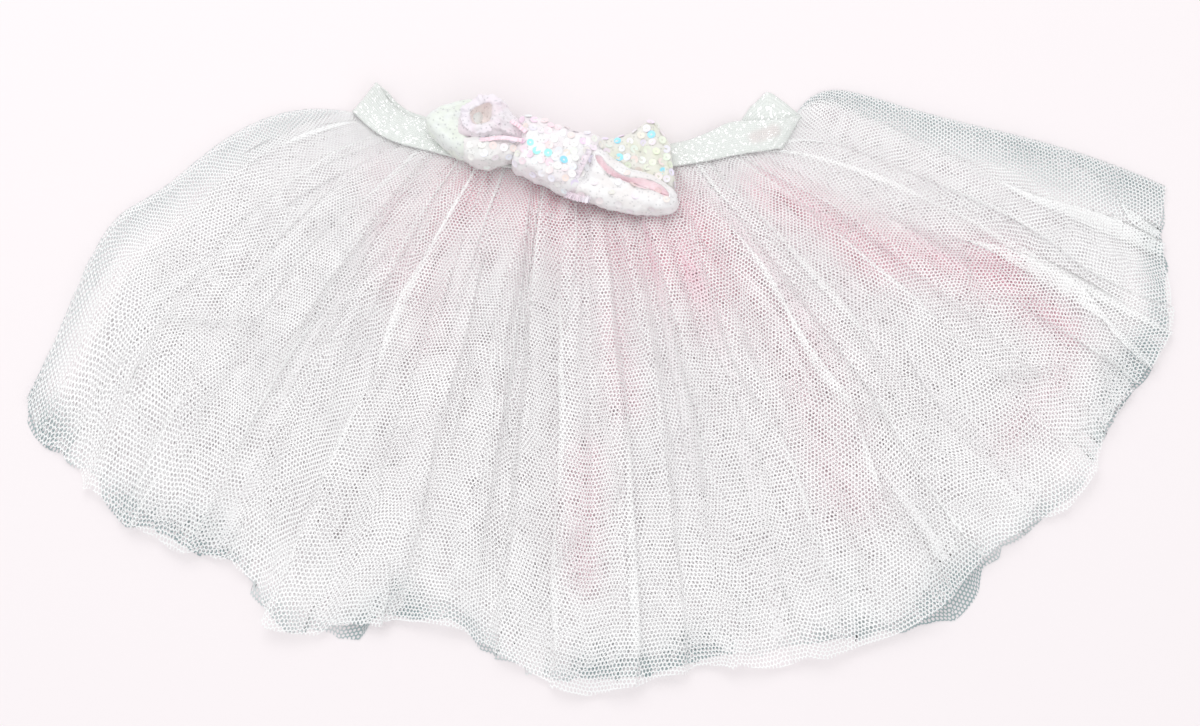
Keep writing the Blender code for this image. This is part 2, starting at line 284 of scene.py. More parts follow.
@dataclass(frozen=True)
class BowClothFinish:
    """White cloth with a pearly cast that changes over the bow."""

    name: str
    colour: tuple
    cast: tuple
    cast_share: float = 0.6

    def make(self) -> bpy.types.Material:
        """Returns the material: a fine weave, a patchy tint and a thin pearly film."""
        weaver = Weaver(self.name)
        place = weaver.add("TexCoord").outputs["Object"]
        patches = weaver.ease(weaver.noise(place, 95.0, 2.0), 0.42, 0.62, 0.0, self.cast_share)
        tint = weaver.blend(patches, (*self.colour, 1.0), (*self.cast, 1.0))
        specks = weaver.add("TexVoronoi", Vector=place, Scale=520.0)
        dots = weaver.ease(specks.outputs["Distance"], 0.12, 0.34)
        shaded = weaver.blend(dots, (*(0.80 * share for share in self.colour), 1.0), tint)
        weave = weaver.noise(place, 1500.0, 3.0)
        height = weaver.math("ADD", weaver.math("MULTIPLY", weave, 0.5), dots)
        lit = weaver.add(
            "BsdfPrincipled", Base_Color=shaded, Roughness=0.5, Normal=weaver.bumped(height, 0.5, 0.0004),
            Sheen_Weight=0.35, Coat_Weight=0.25, Coat_Roughness=0.25,
        )
        return weaver.finish(lit.outputs[0])


@dataclass(frozen=True)
class SatinFinish:
    """Pink satin, smooth across and brushed along."""

    name: str = "pink_satin"
    colour: tuple = (0.97, 0.80, 0.83)

    def make(self) -> bpy.types.Material:
        """Returns the material: fine threads one way and a soft gloss."""
        weaver = Weaver(self.name)
        place = weaver.add("TexCoord").outputs["Object"]
        stretched = weaver.vector("MULTIPLY", place, (300.0, 2600.0, 300.0))
        threads = weaver.noise(stretched, 1.0, 2.0)
        pale = tuple(min(1.0, 1.15 * share) for share in self.colour)
        colour = weaver.blend(threads, (*self.colour, 1.0), (*pale, 1.0))
        lit = weaver.add(
            "BsdfPrincipled", Base_Color=colour, Roughness=0.34, Normal=weaver.bumped(threads, 0.25, 0.0002),
            Sheen_Weight=0.4,
        )
        return weaver.finish(lit.outputs[0])


class Tint(Enum):
    """The colours that the sequins show as their film catches the light."""

    PEARL = (0.90, 0.88, 0.90)
    LILAC = (0.86, 0.80, 0.89)
    GREEN = (0.82, 0.86, 0.74)
    BEIGE = (0.88, 0.81, 0.78)
    ROSE = (0.93, 0.74, 0.83)
    AQUA = (0.42, 0.90, 0.87)
    BLUE = (0.36, 0.76, 0.95)


@dataclass(frozen=True)
class SequinFinish:
    """Pearly plastic sequins: pale ones in their pearly tone, coloured ones in a painted reflection of their
    film.
    """

    name: str = "sequins"

    def make(self) -> bpy.types.Material:
        """Returns the material, whose colour is each sequin's own tint, some of them painted reflections."""
        weaver = Weaver(self.name)
        tint = weaver.add("Attribute", {"attribute_name": TINT}).outputs["Color"]
        lit = weaver.add(
            "BsdfPrincipled", Base_Color=tint, Roughness=0.32, Coat_Weight=0.35, Coat_Roughness=0.15,
            Thin_Film_Thickness=380.0, Thin_Film_IOR=1.4,
        )
        return weaver.finish(lit.outputs[0])


# ------------------------------------------------------------------------------ curves and meshes


def ease(value: np.ndarray, low: float, high: float) -> np.ndarray:
    """Returns 0 below low, 1 above high, and a smooth step between."""
    share = np.clip((np.asarray(value, float) - low) / (high - low), 0.0, 1.0)
    return share * share * (3 - 2 * share)


def smooth(value: np.ndarray, places: tuple, amounts: tuple) -> np.ndarray:
    """Reads a smooth line through listed amounts.

    Args:
        value: Where to read it.
        places: The places of the amounts, rising.
        amounts: The amount at each place.

    Returns:
        The amount at each value, level beyond both ends.
    """
    places, amounts = np.asarray(places, float), np.asarray(amounts, float)
    slopes = np.gradient(amounts, places)
    first = np.clip(np.searchsorted(places, value) - 1, 0, len(places) - 2)
    step = places[first + 1] - places[first]
    share = np.clip((value - places[first]) / step, 0.0, 1.0)
    rest = 1 - share
    before = amounts[first] * (1 + 2 * share) + step * slopes[first] * share
    after = amounts[first + 1] * (1 + 2 * rest) - step * slopes[first + 1] * rest
    return before * rest**2 + after * share**2


def ring_through(corners: tuple, count: int) -> np.ndarray:
    """Draws a smooth closed curve through given corners.

    Args:
        corners: The corners, in order.
        count: How many points to return.

    Returns:
        Points an equal way apart, the first again at the end.
    """
    knots = np.array(corners, float)
    before, after = np.roll(knots, 1, 0), np.roll(knots, -1, 0)
    beyond = np.roll(knots, -2, 0)
    steps = np.linspace(0, 1, 24, endpoint=False)[None, :, None]
    a, b, c, d = (row[:, None, :] for row in (before, knots, after, beyond))
    bent = (-a + 3 * b - 3 * c + d) * steps**3 + (2 * a - 5 * b + 4 * c - d) * steps**2
    points = (0.5 * (bent + (c - a) * steps + 2 * b)).reshape(-1, knots.shape[1])
    points = np.vstack([points, points[:1]])
    length = np.concatenate([[0.0], np.cumsum(np.linalg.norm(np.diff(points, axis=0), axis=1))])
    wanted = np.linspace(0, length[-1], count + 1)
    return np.stack([np.interp(wanted, length, column) for column in points.T], axis=1)


def mesh_from(bm: bmesh.types.BMesh, name: str) -> bpy.types.Mesh:
    """Returns a new mesh made from bm, and frees bm."""
    mesh = bpy.data.meshes.new(name)
    bm.to_mesh(mesh)
    bm.free()
    return mesh


def sew(
    name: str,
    points: np.ndarray,
    cut: tuple,
    marks: Optional[dict] = None,
    chart: Optional[np.ndarray] = None,
) -> bpy.types.Mesh:
    """Makes one cloth mesh from a net of points, joined wherever its edges meet.

    Args:
        name: The mesh's name.
        points: An array of rows, columns and three coordinates.
        cut: The cloth's flat size, which its map is scaled to.
        marks: Named amounts for each point, as arrays of rows and columns.
        chart: The map's own places instead, by row, column of faces, and left or right side of the face.

    Returns:
        The mesh, with its faces consistent.
    """
    rows, columns = points.shape[0] - 1, points.shape[1] - 1
    bm = bmesh.new()
    uv = bm.loops.layers.uv.new(CLOTH_MAP)
    layers = {key: bm.verts.layers.float.new(key) for key in (marks or {})}
    bmesh.ops.create_grid(bm, x_segments=columns, y_segments=rows, size=0.5, calc_uvs=True)
    for face in bm.faces:
        first = min(round(loop[uv].uv.x * columns) for loop in face.loops)
        for loop in face.loops:
            row, side = round(loop[uv].uv.y * rows), round(loop[uv].uv.x * columns) - first
            whole = (loop[uv].uv.x * cut[0], loop[uv].uv.y * cut[1])
            loop[uv].uv = whole if chart is None else chart[row, first, side]
    for vert in bm.verts:
        row, column = round((vert.co.y + 0.5) * rows), round((vert.co.x + 0.5) * columns)
        vert.co = points[row, column]
        for key, layer in layers.items():
            vert[layer] = marks[key][row, column]
    bmesh.ops.remove_doubles(bm, verts=[vert for vert in bm.verts if vert.is_boundary], dist=1e-6)
    return mesh_from(bm, name)


def face_out(mesh: bpy.types.Mesh) -> None:
    """Turns the faces of a closed mesh outwards."""
    bm = bmesh.new()
    bm.from_mesh(mesh)
    bmesh.ops.recalc_face_normals(bm, faces=bm.faces)
    if bm.calc_volume(signed=True) < 0:
        bmesh.ops.reverse_faces(bm, faces=bm.faces)
    bm.to_mesh(mesh)
    bm.free()


def normals_of(points: np.ndarray) -> np.ndarray:
    """Returns the unit normal at each point of a net of points that is a ring along its rows."""
    along = np.gradient(points, axis=1)
    along[:, 0] = along[:, -1] = points[:, 1] - points[:, -2]
    normal = np.cross(along, np.gradient(points, axis=0))
    return normal / np.maximum(np.linalg.norm(normal, axis=2, keepdims=True), 1e-12)


def thicken(points: np.ndarray, thickness: float) -> np.ndarray:
    """Gives a ring of cloth two faces and rounded edges.

    Args:
        points: The ring's middle surface, as rows and columns of points.
        thickness: The cloth's thickness.

    Returns:
        A net of points that closes both ways.
    """
    half = normals_of(points) * thickness / 2
    out = (points - np.roll(points, -1, 0))[:1] / 2
    back = (points - np.roll(points, 1, 0))[-1:] / 2
    near = points[:1] + out / np.linalg.norm(out, axis=2, keepdims=True) * thickness * 0.4
    far = points[-1:] + back / np.linalg.norm(back, axis=2, keepdims=True) * thickness * 0.4
    return np.concatenate([near, points + half, far, (points - half)[::-1], near])


def as_piece(name: str, mesh: bpy.types.Mesh, *materials: bpy.types.Material) -> bpy.types.Object:
    """Links a dressed mesh to the scene as a piece of the tutu's one body."""
    for material in materials:
        mesh.materials.append(material)
    mesh.shade_smooth()
    obj = bpy.data.objects.new(name, mesh)
    bpy.context.scene.collection.objects.link(obj)
    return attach(obj, "root")


# ------------------------------------------------------------------------------ plan and folds


class Ply(Enum):
    """The two plies of a flattened ring of cloth."""

    FRONT = 1
    BACK = -1


class Fold(NamedTuple):
    """One large fold: its place across, its hem's reach, its height and the way it leans."""

    across: float
    reach: float
    rise: float
    lean: float


FOLDS = (
    Fold(across=-1.00, reach=0.321, rise=0.30, lean=0.0),
    Fold(across=-0.93, reach=0.325, rise=0.55, lean=-0.6),
    Fold(across=-0.84, reach=0.319, rise=0.70, lean=-1.1),
    Fold(across=-0.75, reach=0.319, rise=0.60, lean=-1.3),
    Fold(across=-0.65, reach=0.312, rise=0.85, lean=1.2),
    Fold(across=-0.54, reach=0.299, rise=0.65, lean=-1.0),
    Fold(across=-0.42, reach=0.312, rise=1.00, lean=-1.6),
    Fold(across=-0.32, reach=0.296, rise=0.60, lean=1.1),
    Fold(across=-0.22, reach=0.282, rise=0.75, lean=1.5),
    Fold(across=-0.12, reach=0.293, rise=0.95, lean=-1.2),
    Fold(across=-0.03, reach=0.303, rise=0.70, lean=-1.5),
    Fold(across=0.07, reach=0.304, rise=0.90, lean=1.3),
    Fold(across=0.16, reach=0.300, rise=0.65, lean=0.9),
    Fold(across=0.26, reach=0.307, rise=1.00, lean=-1.6),
    Fold(across=0.36, reach=0.315, rise=0.75, lean=1.4),
    Fold(across=0.46, reach=0.323, rise=0.95, lean=1.7),
    Fold(across=0.54, reach=0.314, rise=0.60, lean=-1.0),
    Fold(across=0.66, reach=0.325, rise=0.85, lean=1.5),
    Fold(across=0.74, reach=0.318, rise=0.60, lean=-1.2),
    Fold(across=0.83, reach=0.327, rise=0.75, lean=1.1),
    Fold(across=0.93, reach=0.304, rise=0.50, lean=0.6),
    Fold(across=1.00, reach=0.303, rise=0.30, lean=0.0),
)


class Sweep(NamedTuple):
    """A stray crease of the top net, seen from above: from start to end, bowed to its left by bend."""

    start: tuple
    end: tuple
    bend: float
    height: float
    width: float


SWEEPS = (
    Sweep(start=(-0.228, 0.029), end=(-0.150, 0.024), bend=-0.002, height=0.0030, width=0.0016),
    Sweep(start=(-0.270, 0.021), end=(-0.214, -0.019), bend=0.005, height=0.0034, width=0.0018),
    Sweep(start=(-0.219, -0.015), end=(-0.196, -0.048), bend=-0.003, height=0.0026, width=0.0018),
    Sweep(start=(-0.259, 0.066), end=(-0.271, 0.033), bend=0.004, height=0.0028, width=0.0016),
    Sweep(start=(-0.160, 0.078), end=(-0.196, 0.006), bend=0.006, height=0.0022, width=0.0020),
    Sweep(start=(-0.112, 0.052), end=(-0.138, -0.048), bend=-0.005, height=0.0022, width=0.0018),
    Sweep(start=(0.004, -0.044), end=(0.003, -0.072), bend=0.007, height=0.0036, width=0.0016),
    Sweep(start=(0.003, -0.072), end=(-0.026, -0.108), bend=-0.005, height=0.0032, width=0.0017),
    Sweep(start=(-0.021, -0.112), end=(0.020, -0.087), bend=0.004, height=0.0030, width=0.0016),
    Sweep(start=(0.006, 0.030), end=(0.016, -0.024), bend=-0.003, height=0.0028, width=0.0019),
    Sweep(start=(0.181, 0.068), end=(0.184, 0.032), bend=0.004, height=0.0030, width=0.0016),
    Sweep(start=(0.156, 0.079), end=(0.223, 0.048), bend=-0.006, height=0.0030, width=0.0017),
    Sweep(start=(0.180, 0.034), end=(0.232, 0.034), bend=0.004, height=0.0026, width=0.0016),
    Sweep(start=(0.242, 0.002), end=(0.180, -0.013), bend=-0.005, height=0.0032, width=0.0018),
    Sweep(start=(0.249, 0.018), end=(0.254, -0.038), bend=0.002, height=0.0026, width=0.0018),
    Sweep(start=(0.088, -0.002), end=(0.160, -0.022), bend=-0.004, height=0.0026, width=0.0018),
    Sweep(start=(0.060, 0.060), end=(0.098, -0.040), bend=0.008, height=0.0024, width=0.0020),
    Sweep(start=(0.120, -0.050), end=(0.134, -0.096), bend=-0.004, height=0.0026, width=0.0018),
    Sweep(start=(-0.062, 0.020), end=(-0.078, -0.070), bend=0.006, height=0.0024, width=0.0019),
)


class Patch(NamedTuple):
    """A pink patch where the lining shows most; below the bow it is painted shade as well: a soft band from
    start to end, seen from above.
    """

    start: tuple
    end: tuple
    width: float
    strength: float


PATCHES = (
    # The first patch, below the bow, is pink lining with painted shade from the bow.
    Patch(start=(-0.060, 0.098), end=(0.030, 0.072), width=0.024, strength=0.95),
    Patch(start=(0.030, 0.080), end=(0.060, 0.050), width=0.026, strength=0.50),
    Patch(start=(-0.110, 0.104), end=(-0.102, 0.052), width=0.012, strength=0.28),
    Patch(start=(0.085, 0.097), end=(0.140, 0.062), width=0.012, strength=0.75),
    Patch(start=(0.140, 0.062), end=(0.202, 0.054), width=0.013, strength=0.75),
    Patch(start=(0.202, 0.054), end=(0.238, 0.022), width=0.013, strength=0.60),
    Patch(start=(0.232, -0.010), end=(0.212, -0.030), width=0.014, strength=0.30),
    Patch(start=(0.006, 0.030), end=(0.014, -0.016), width=0.008, strength=0.45),
    Patch(start=(-0.006, -0.044), end=(-0.008, -0.100), width=0.010, strength=0.45),
    Patch(start=(-0.080, 0.080), end=(-0.086, 0.020), width=0.014, strength=0.18),
    Patch(start=(0.100, 0.020), end=(0.124, -0.060), width=0.018, strength=0.25),
)


def beside(points: np.ndarray, start: tuple, end: tuple, bend: float = 0.0) -> tuple:
    """Measures places against a bowed line seen from above.

    Args:
        points: An array whose last axis begins with x and y.
        start: The line's start.
        end: Its end.
        bend: How far its middle is bowed to the left.

    Returns:
        How far each place is from the line, and its share of the way along it, past 0 and 1 beyond the ends.
    """
    first, way = np.array(start), np.array(end) - np.array(start)
    apart = points[..., :2] - first
    share = apart @ way / (way @ way)
    left = apart @ np.array([-way[1], way[0]]) / np.hypot(*way)
    bowed = left - 4 * bend * np.clip(share, 0, 1) * (1 - np.clip(share, 0, 1))
    past = np.maximum(np.abs(share - 0.5) - 0.5, 0.0) * np.hypot(*way)
    return np.hypot(bowed, past), share


@dataclass(frozen=True)
class Plan:
    """The skirt's outline seen from above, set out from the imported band."""

    middle: tuple
    half_chord: float = 0.114
    sag: float = 0.028
    shift_places: tuple = (-1.0, -0.90, -0.60, 0.50, 0.72, 0.90, 1.0)
    shift_right: tuple = (0.0, 0.0, 0.0, 0.0, 0.0, -0.0040, -0.0090)
    shift_down: tuple = (0.0, 0.0045, 0.0042, 0.0067, 0.0093, 0.0150, 0.0195)
    fan_right: float = 0.0020
    fan_up: float = 0.0394
    hem_swing: float = radians(70.25)
    hem_skew: float = radians(10.25)
    bulge_left: float = 0.095
    bulge_right: float = 0.036
    bulge_power: int = 3
    puff: float = 0.026
    puff_down: float = 0.12
    puff_from: float = 0.80
    shoulder: float = 0.019
    shoulder_down: float = 0.77
    shoulder_spread: float = 0.13

    @classmethod
    def of_frame(cls) -> "Plan":
        """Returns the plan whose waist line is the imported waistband's sewn edge."""
        low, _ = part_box("waistband")
        across = np.linspace(-1, 1, 401)
        lowest = cls(middle=(0.0, 0.0)).waist(across, np.zeros_like(across))[:, 1].min()
        return cls(middle=(low.x + cls.half_chord, low.y - float(lowest)))

    @property
    def radius(self) -> float:
        """The waist arc's radius."""
        return (self.half_chord**2 + self.sag**2) / (2 * self.sag)

    @property
    def half_angle(self) -> float:
        """Half the waist arc's angle."""
        return float(np.arctan2(self.half_chord, self.radius - self.sag))

    def waist(self, across: np.ndarray, below: np.ndarray) -> np.ndarray:
        """Finds places along the waist line.

        Args:
            across: From -1 at the left end to 1 at the right one.
            below: How far below the sewn edge, towards the hem.

        Returns:
            An array whose last axis is x and y.
        """
        angle = -pi / 2 + across * self.half_angle
        reach = self.radius + below
        right = smooth(across, self.shift_places, self.shift_right)
        lower = smooth(across, self.shift_places, self.shift_down)
        x = self.middle[0] + reach * np.cos(angle) + right
        y = self.middle[1] + self.radius + reach * np.sin(angle) - lower
        return np.stack([x, y], axis=-1)

    def hem(self, across: np.ndarray, reach: np.ndarray) -> np.ndarray:
        """Finds places along the hem, this far from the fan's centre."""
        angle = radians(270.0) + self.hem_swing * across + self.hem_skew * across**2
        x = self.middle[0] + self.fan_right + reach * np.cos(angle)
        y = self.middle[1] + self.fan_up + reach * np.sin(angle)
        return np.stack([x, y], axis=-1)

    def skirt(self, across: np.ndarray, down: np.ndarray, reach: np.ndarray) -> np.ndarray:
        """Finds places on the skirt.

        Args:
            across: From -1 to 1.
            down: The share of the way from waist to hem.
            reach: The hem's distance from the fan's centre at this place.

        Returns:
            An array whose last axis is x and y.
        """
        share = down[..., None]
        straight = self.waist(across, np.zeros_like(across)) * (1 - share) + self.hem(across, reach) * share
        bulge = np.where(across < 0, self.bulge_left, self.bulge_right)
        from_shoulder = (down - self.shoulder_down) / self.shoulder_spread
        shoulder = self.shoulder * np.exp(-(from_shoulder**2)) * (across < 0)
        swell = (2 * down * (1 - down) * bulge + shoulder) * np.abs(across) ** self.bulge_power
        puffed = np.clip((across - self.puff_from) / (1 - self.puff_from), 0.0, 1.0) * self.puff
        swell = swell + puffed * down / self.puff_down * np.exp(1 - np.clip(down, 0.0, 1.0) / self.puff_down)
        straight[..., 1] += np.where(down > 0, swell, 0.0)
        return straight

    def half_width(self, down: np.ndarray) -> np.ndarray:
        """Returns half the ring's length at this share of the way down."""
        hem = float(np.mean([fold.reach for fold in FOLDS])) * self.hem_swing
        return self.half_chord * 1.04 * (1 - down) + hem * down


class Waves(NamedTuple):
    """A family of folds in one ply, finer than the large ones.

    Attributes:
        count: How many lie across the ply.
        uneven: How much their widths differ, from 0 to 1.
        swing: Their sideways swing at the waist, half-way and at the hem; past 1 the cloth doubles back.
        share: The share of the ply's own height that they take.
        life: The least and the most of the skirt's length over which one fades from the waist.
        drift: How many of its own widths a fold strays sideways on its way down.
    """

    count: int
    uneven: float
    swing: tuple
    share: float
    life: tuple
    drift: float


class Creases:
    """One family of waves, drawn for one ply."""

    def __init__(self, waves: Waves, rng: np.random.Generator) -> None:
        """Draws each wave's width, lean, strength, length and the way it strays."""
        count = waves.count
        self.waves = waves
        widths = 1 + waves.uneven * rng.uniform(-1, 1, count)
        self.edges = np.concatenate([[0.0], np.cumsum(widths)]) / widths.sum()
        self.middles = (self.edges[1:] + self.edges[:-1]) / 2
        self.lean = rng.choice([-1.0, 1.0], count) * rng.uniform(0.6, 1.3, count)
        self.strength = rng.uniform(0.25, 1.3, count)
        self.life = rng.uniform(*waves.life, count)
        self.turn = rng.uniform(0, tau, count)
        self.stray = rng.uniform(0, tau, 4)

    def over(self, place: np.ndarray, amounts: np.ndarray) -> np.ndarray:
        """Returns each wave's own amount, smoothed over the ply."""
        return np.interp(place, self.middles, amounts)

    def at(self, place: np.ndarray, down: np.ndarray) -> tuple:
        """Works out the wave at each place.

        Args:
            place: From 0 to 1 across the ply's cloth.
            down: The share of the way from waist to hem.

        Returns:
            The sideways shift, as a share of the ply, and the height from 0 to 1.
        """
        one, two, three, four = self.stray
        wide = np.sin(tau * 2.3 * place + one + 1.6 * down)
        wide = wide + 0.6 * np.sin(tau * 5.1 * place + two - 2.7 * down)
        fine = 0.35 * np.sin(tau * 13.0 * place + three + 7.0 * down)
        fine = fine + 0.2 * np.sin(tau * 29.0 * place + four - 11.0 * down)
        phase = np.interp(place, self.edges, np.arange(self.waves.count + 1))
        phase = phase + self.waves.drift * down * (wide + fine)
        width = self.over(place, np.diff(self.edges))
        swing = np.interp(down, (0.0, 0.45, 1.0), self.waves.swing)
        fade = np.exp(-((down / self.over(place, self.life)) ** 2))
        change = 1 + 0.45 * np.sin(self.over(place, self.turn) + 6.5 * down)
        strength = self.over(place, self.strength) * fade * change
        wave = np.cos(tau * phase)
        shift = self.over(place, self.lean) * strength * swing * width / tau * wave
        return shift, (1 + wave) / 2 * np.clip(strength, 0.0, 1.0)


class Layer(NamedTuple):
    """One net skirt's place in the pile.

    Attributes:
        back: The height shares between which its back ply lies, bottom first.
        front: The same for its front ply.
        length: Its length as a share of the outer one's.
        inset: How far its side folds lie inside the outer one's, at the hem.
        ragged: How much its hem's reach differs from fold to fold.
    """

    back: tuple
    front: tuple
    length: float
    inset: float
    ragged: float


@dataclass
class NetSkirt:
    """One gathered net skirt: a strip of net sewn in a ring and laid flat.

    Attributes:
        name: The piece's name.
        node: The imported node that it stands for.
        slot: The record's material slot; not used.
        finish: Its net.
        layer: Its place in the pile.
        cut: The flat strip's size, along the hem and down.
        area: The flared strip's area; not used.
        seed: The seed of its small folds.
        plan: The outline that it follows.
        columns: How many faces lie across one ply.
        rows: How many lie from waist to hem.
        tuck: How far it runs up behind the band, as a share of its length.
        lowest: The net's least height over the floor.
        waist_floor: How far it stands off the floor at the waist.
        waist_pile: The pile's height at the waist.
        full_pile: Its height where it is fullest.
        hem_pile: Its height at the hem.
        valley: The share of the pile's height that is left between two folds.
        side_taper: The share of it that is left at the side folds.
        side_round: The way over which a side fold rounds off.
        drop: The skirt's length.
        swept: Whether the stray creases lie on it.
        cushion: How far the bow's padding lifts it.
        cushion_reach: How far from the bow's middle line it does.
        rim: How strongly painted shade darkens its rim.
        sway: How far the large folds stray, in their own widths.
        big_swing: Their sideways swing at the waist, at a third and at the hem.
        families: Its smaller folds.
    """

    name: str
    node: str
    slot: str
    finish: NetFinish
    layer: Layer
    cut: tuple
    area: float
    seed: int
    plan: Plan
    columns: int = 620
    rows: int = 60
    tuck: float = 0.020
    lowest: float = 0.0004
    waist_floor: float = 0.0015
    waist_pile: float = 0.0040
    full_pile: float = 0.0300
    hem_pile: float = 0.0150
    valley: float = 0.50
    side_taper: float = 0.42
    side_round: float = 0.0060
    drop: float = 0.256
    swept: bool = False
    cushion: float = 0.0065
    cushion_reach: float = 0.028
    rim: float = 0.0
    sway: float = 0.30
    big_swing: tuple = (0.5, 1.15, 0.9)
    families: tuple = (
        Waves(count=28, uneven=0.9, swing=(1.7, 1.25, 0.9), share=0.30, life=(0.8, 3.0), drift=1.1),
        Waves(count=88, uneven=0.6, swing=(1.7, 1.05, 0.4), share=0.24, life=(0.12, 0.7), drift=1.9),
    )

    def pile(self, down: np.ndarray) -> np.ndarray:
        """Returns the pile's full height down the skirt."""
        full = self.waist_pile + (self.full_pile - self.waist_pile) * ease(down, -0.02, 0.34)
        return full + (self.hem_pile - self.full_pile) * ease(down, 0.55, 1.0)

    def large_folds(
        self, flat: np.ndarray, down: np.ndarray, free: np.ndarray, ply: Ply, sway: np.ndarray
    ) -> tuple:
        """Works out the large folds, which are listed one by one.

        Args:
            flat: From -1 to 1 across the ply.
            down: The share of the way from waist to hem.
            free: From 0 at the side folds to 1 away from them.
            ply: Which of the two plies.
            sway: Where the folds' stray waves begin.

        Returns:
            The sideways shift, and the share of the pile's height that is left.
        """
        crests = [fold.across for fold in FOLDS]
        wander = np.sin(3.1 * flat + sway[0] + 3 * down) + np.sin(9.0 * flat + sway[1])
        phase = np.interp(flat, crests, np.arange(len(FOLDS))) + self.sway * down * wander * free
        width = np.interp(flat, crests, np.gradient(crests))
        rise = np.interp(flat, crests, [fold.rise for fold in FOLDS])
        lean = np.interp(flat, crests, [fold.lean for fold in FOLDS])
        wave = np.cos(tau * phase)
        swing = np.interp(down, (0.0, 0.3, 1.0), self.big_swing)
        shift = lean * swing * width / tau * wave * (0.6 if ply is Ply.FRONT else 0.2)
        return shift, self.valley + (1 - self.valley) * rise * (1 + wave) / 2

    def raised(
        self, points: np.ndarray, down: np.ndarray, free: np.ndarray, rng: np.random.Generator
    ) -> np.ndarray:
        """Works out what lifts the front ply over its folds.

        Args:
            points: The ply's places seen from above.
            down: The share of the way from waist to hem.
            free: From 0 at the side folds to 1 away from them.
            rng: Where its small dents are drawn from.

        Returns:
            The height of its dents and of the cushion that the bow makes.
        """
        near = ease(down, 0.02, 0.30) * free
        under_bow, _ = beside(points, PATCHES[0].start, PATCHES[0].end)
        lifted = self.cushion * np.exp(-((under_bow / self.cushion_reach) ** 2)) * ease(down, 0.02, 0.12)
        return self.crumple(points, rng) * near + lifted

    def ply(self, ply: Ply) -> tuple:
        """Works out one ply.

        Args:
            ply: Which of the two plies.

        Returns:
            Its points, the blush at each, and the places from 0 to 1 where its folds part.
        """
        is_front = ply is Ply.FRONT
        rng = np.random.default_rng(self.seed + (0 if is_front else 50))
        shared = np.random.default_rng(7 if is_front else 57)
        place = np.linspace(0, 1, self.columns + 1)[None, :] * np.ones((self.rows + 1, 1))
        down = np.linspace(0, 1, self.rows + 1)[:, None] ** 1.15 * np.ones((1, self.columns + 1))
        down = -self.tuck + (1 + self.tuck) * down
        flat = (2 * place - 1) * ply.value
        free = ease(1 - np.abs(flat), 0.0, 0.06)
        shift, relief = self.large_folds(flat, down, free, ply, shared.uniform(0, tau, 2))
        height = np.zeros_like(down)
        ragged = np.zeros_like(down)
        parts = []
        for waves, torn in zip(self.families, (0.8, 0.35)):
            creases = Creases(waves, rng)
            parts.append(creases.middles)
            sideways, up = creases.at(place, down)
            shift = shift + 2 * sideways
            height = height + waves.share * up
            ragged = ragged + creases.over(place, rng.uniform(-1, 1, waves.count)) * torn
        half = self.plan.half_width(down)
        inset = self.layer.inset * np.clip(down, 0.0, 1.0) / half
        across = np.clip(flat + shift * free, -1.0, 1.0) * (1 - inset)
        reach = smooth(flat, [fold.across for fold in FOLDS], [fold.reach for fold in FOLDS])
        reach = reach + self.layer.ragged * ragged * free
        taper = 1 - (1 - self.side_taper) * ease(np.abs(flat), 0.70, 1.0)
        pile = self.pile(down) * taper * relief
        low, high = self.layer.front if is_front else self.layer.back
        floor = self.waist_floor * (1 - ease(down, 0.0, 0.08)) + self.lowest
        raw = floor + pile * (low + (high - low) * height)
        middle = floor + pile * 0.35
        edge = np.clip((1 - np.abs(across) - inset) * half / self.side_round, 0.0, 1.0)
        z = middle + (raw - middle) * np.sqrt(1 - (1 - edge) ** 2)
        points = self.plan.skirt(across, down * self.layer.length, reach)
        if is_front:
            z = z + self.raised(points, down, free, shared)
        z = np.maximum(z, self.lowest * (2 if is_front else 1))
        if self.swept and is_front:
            for sweep in SWEEPS:
                apart, share = beside(points, sweep.start, sweep.end, sweep.bend)
                ends = ease(share, -0.05, 0.3) * (1 - ease(share, 0.7, 1.05))
                z = z + sweep.height * np.exp(-((apart / sweep.width) ** 2)) * ends
        points = np.concatenate([points, z[..., None]], axis=-1)
        return points, self.blush(points, across, down), parts[0]

    def crumple(self, points: np.ndarray, rng: np.random.Generator) -> np.ndarray:
        """Returns the net's small soft dents, as heights."""
        out = np.zeros(points.shape[:2])
        for number in range(9):
            turn, length = rng.uniform(0, pi), 0.016 + 0.006 * number
            way = np.array([cos(turn), sin(turn)]) * tau / length
            out += np.sin(points[..., :2] @ way + rng.uniform(0, tau)) * length * 0.0075
        return out

    def blush(self, points: np.ndarray, across: np.ndarray, down: np.ndarray) -> np.ndarray:
        """Returns how pink the net is: most in the listed patches, less to the left and at the hem."""
        fade = np.clip(1.05 - down, 0.0, 1.0) ** 0.8
        pink = 0.09 * fade * (1 - 0.6 * ease(-across, 0.15, 0.7))
        for patch in PATCHES:
            apart, _ = beside(points, patch.start, patch.end)
            pink = pink + patch.strength * np.exp(-((apart / patch.width) ** 2))
        return np.clip(pink, 0.0, 1.0)

    def rim_shade(self, points: np.ndarray, front: int) -> np.ndarray:
        """Returns how much painted shade each place gets: dark grey on the rim where no other layer lies, most
        on the back ply.

        Args:
            points: The skirt's rows and columns of points.
            front: How many columns the front ply has.

        Returns:
            The share of painted shade, from 0 to 1, by row and column.
        """
        down = np.linspace(0, 1, len(points))[:, None] * np.ones(points.shape[1])
        far = np.arange(points.shape[1]) >= front
        back = points.shape[1] - front + 1
        ring = np.concatenate([np.linspace(-1, 1, front), np.linspace(1, -1, back)[1:]])
        wander = 0.020 * np.sin(ring * 17.0) + 0.014 * np.sin(ring * 41.0 + 1.0)
        side = ease(np.abs(ring) + 0.4 * wander, 0.925, 0.99) * ease(down, 0.02, 0.12)
        side = side * (1 - 0.5 * ease(-ring, 0.5, 0.6))
        hem = ease(down + wander, 0.935, 0.995) * (0.85 + 12 * wander)
        return np.clip(np.maximum(side, hem), 0, 1) * np.where(far, 1.0, 0.12) * self.rim

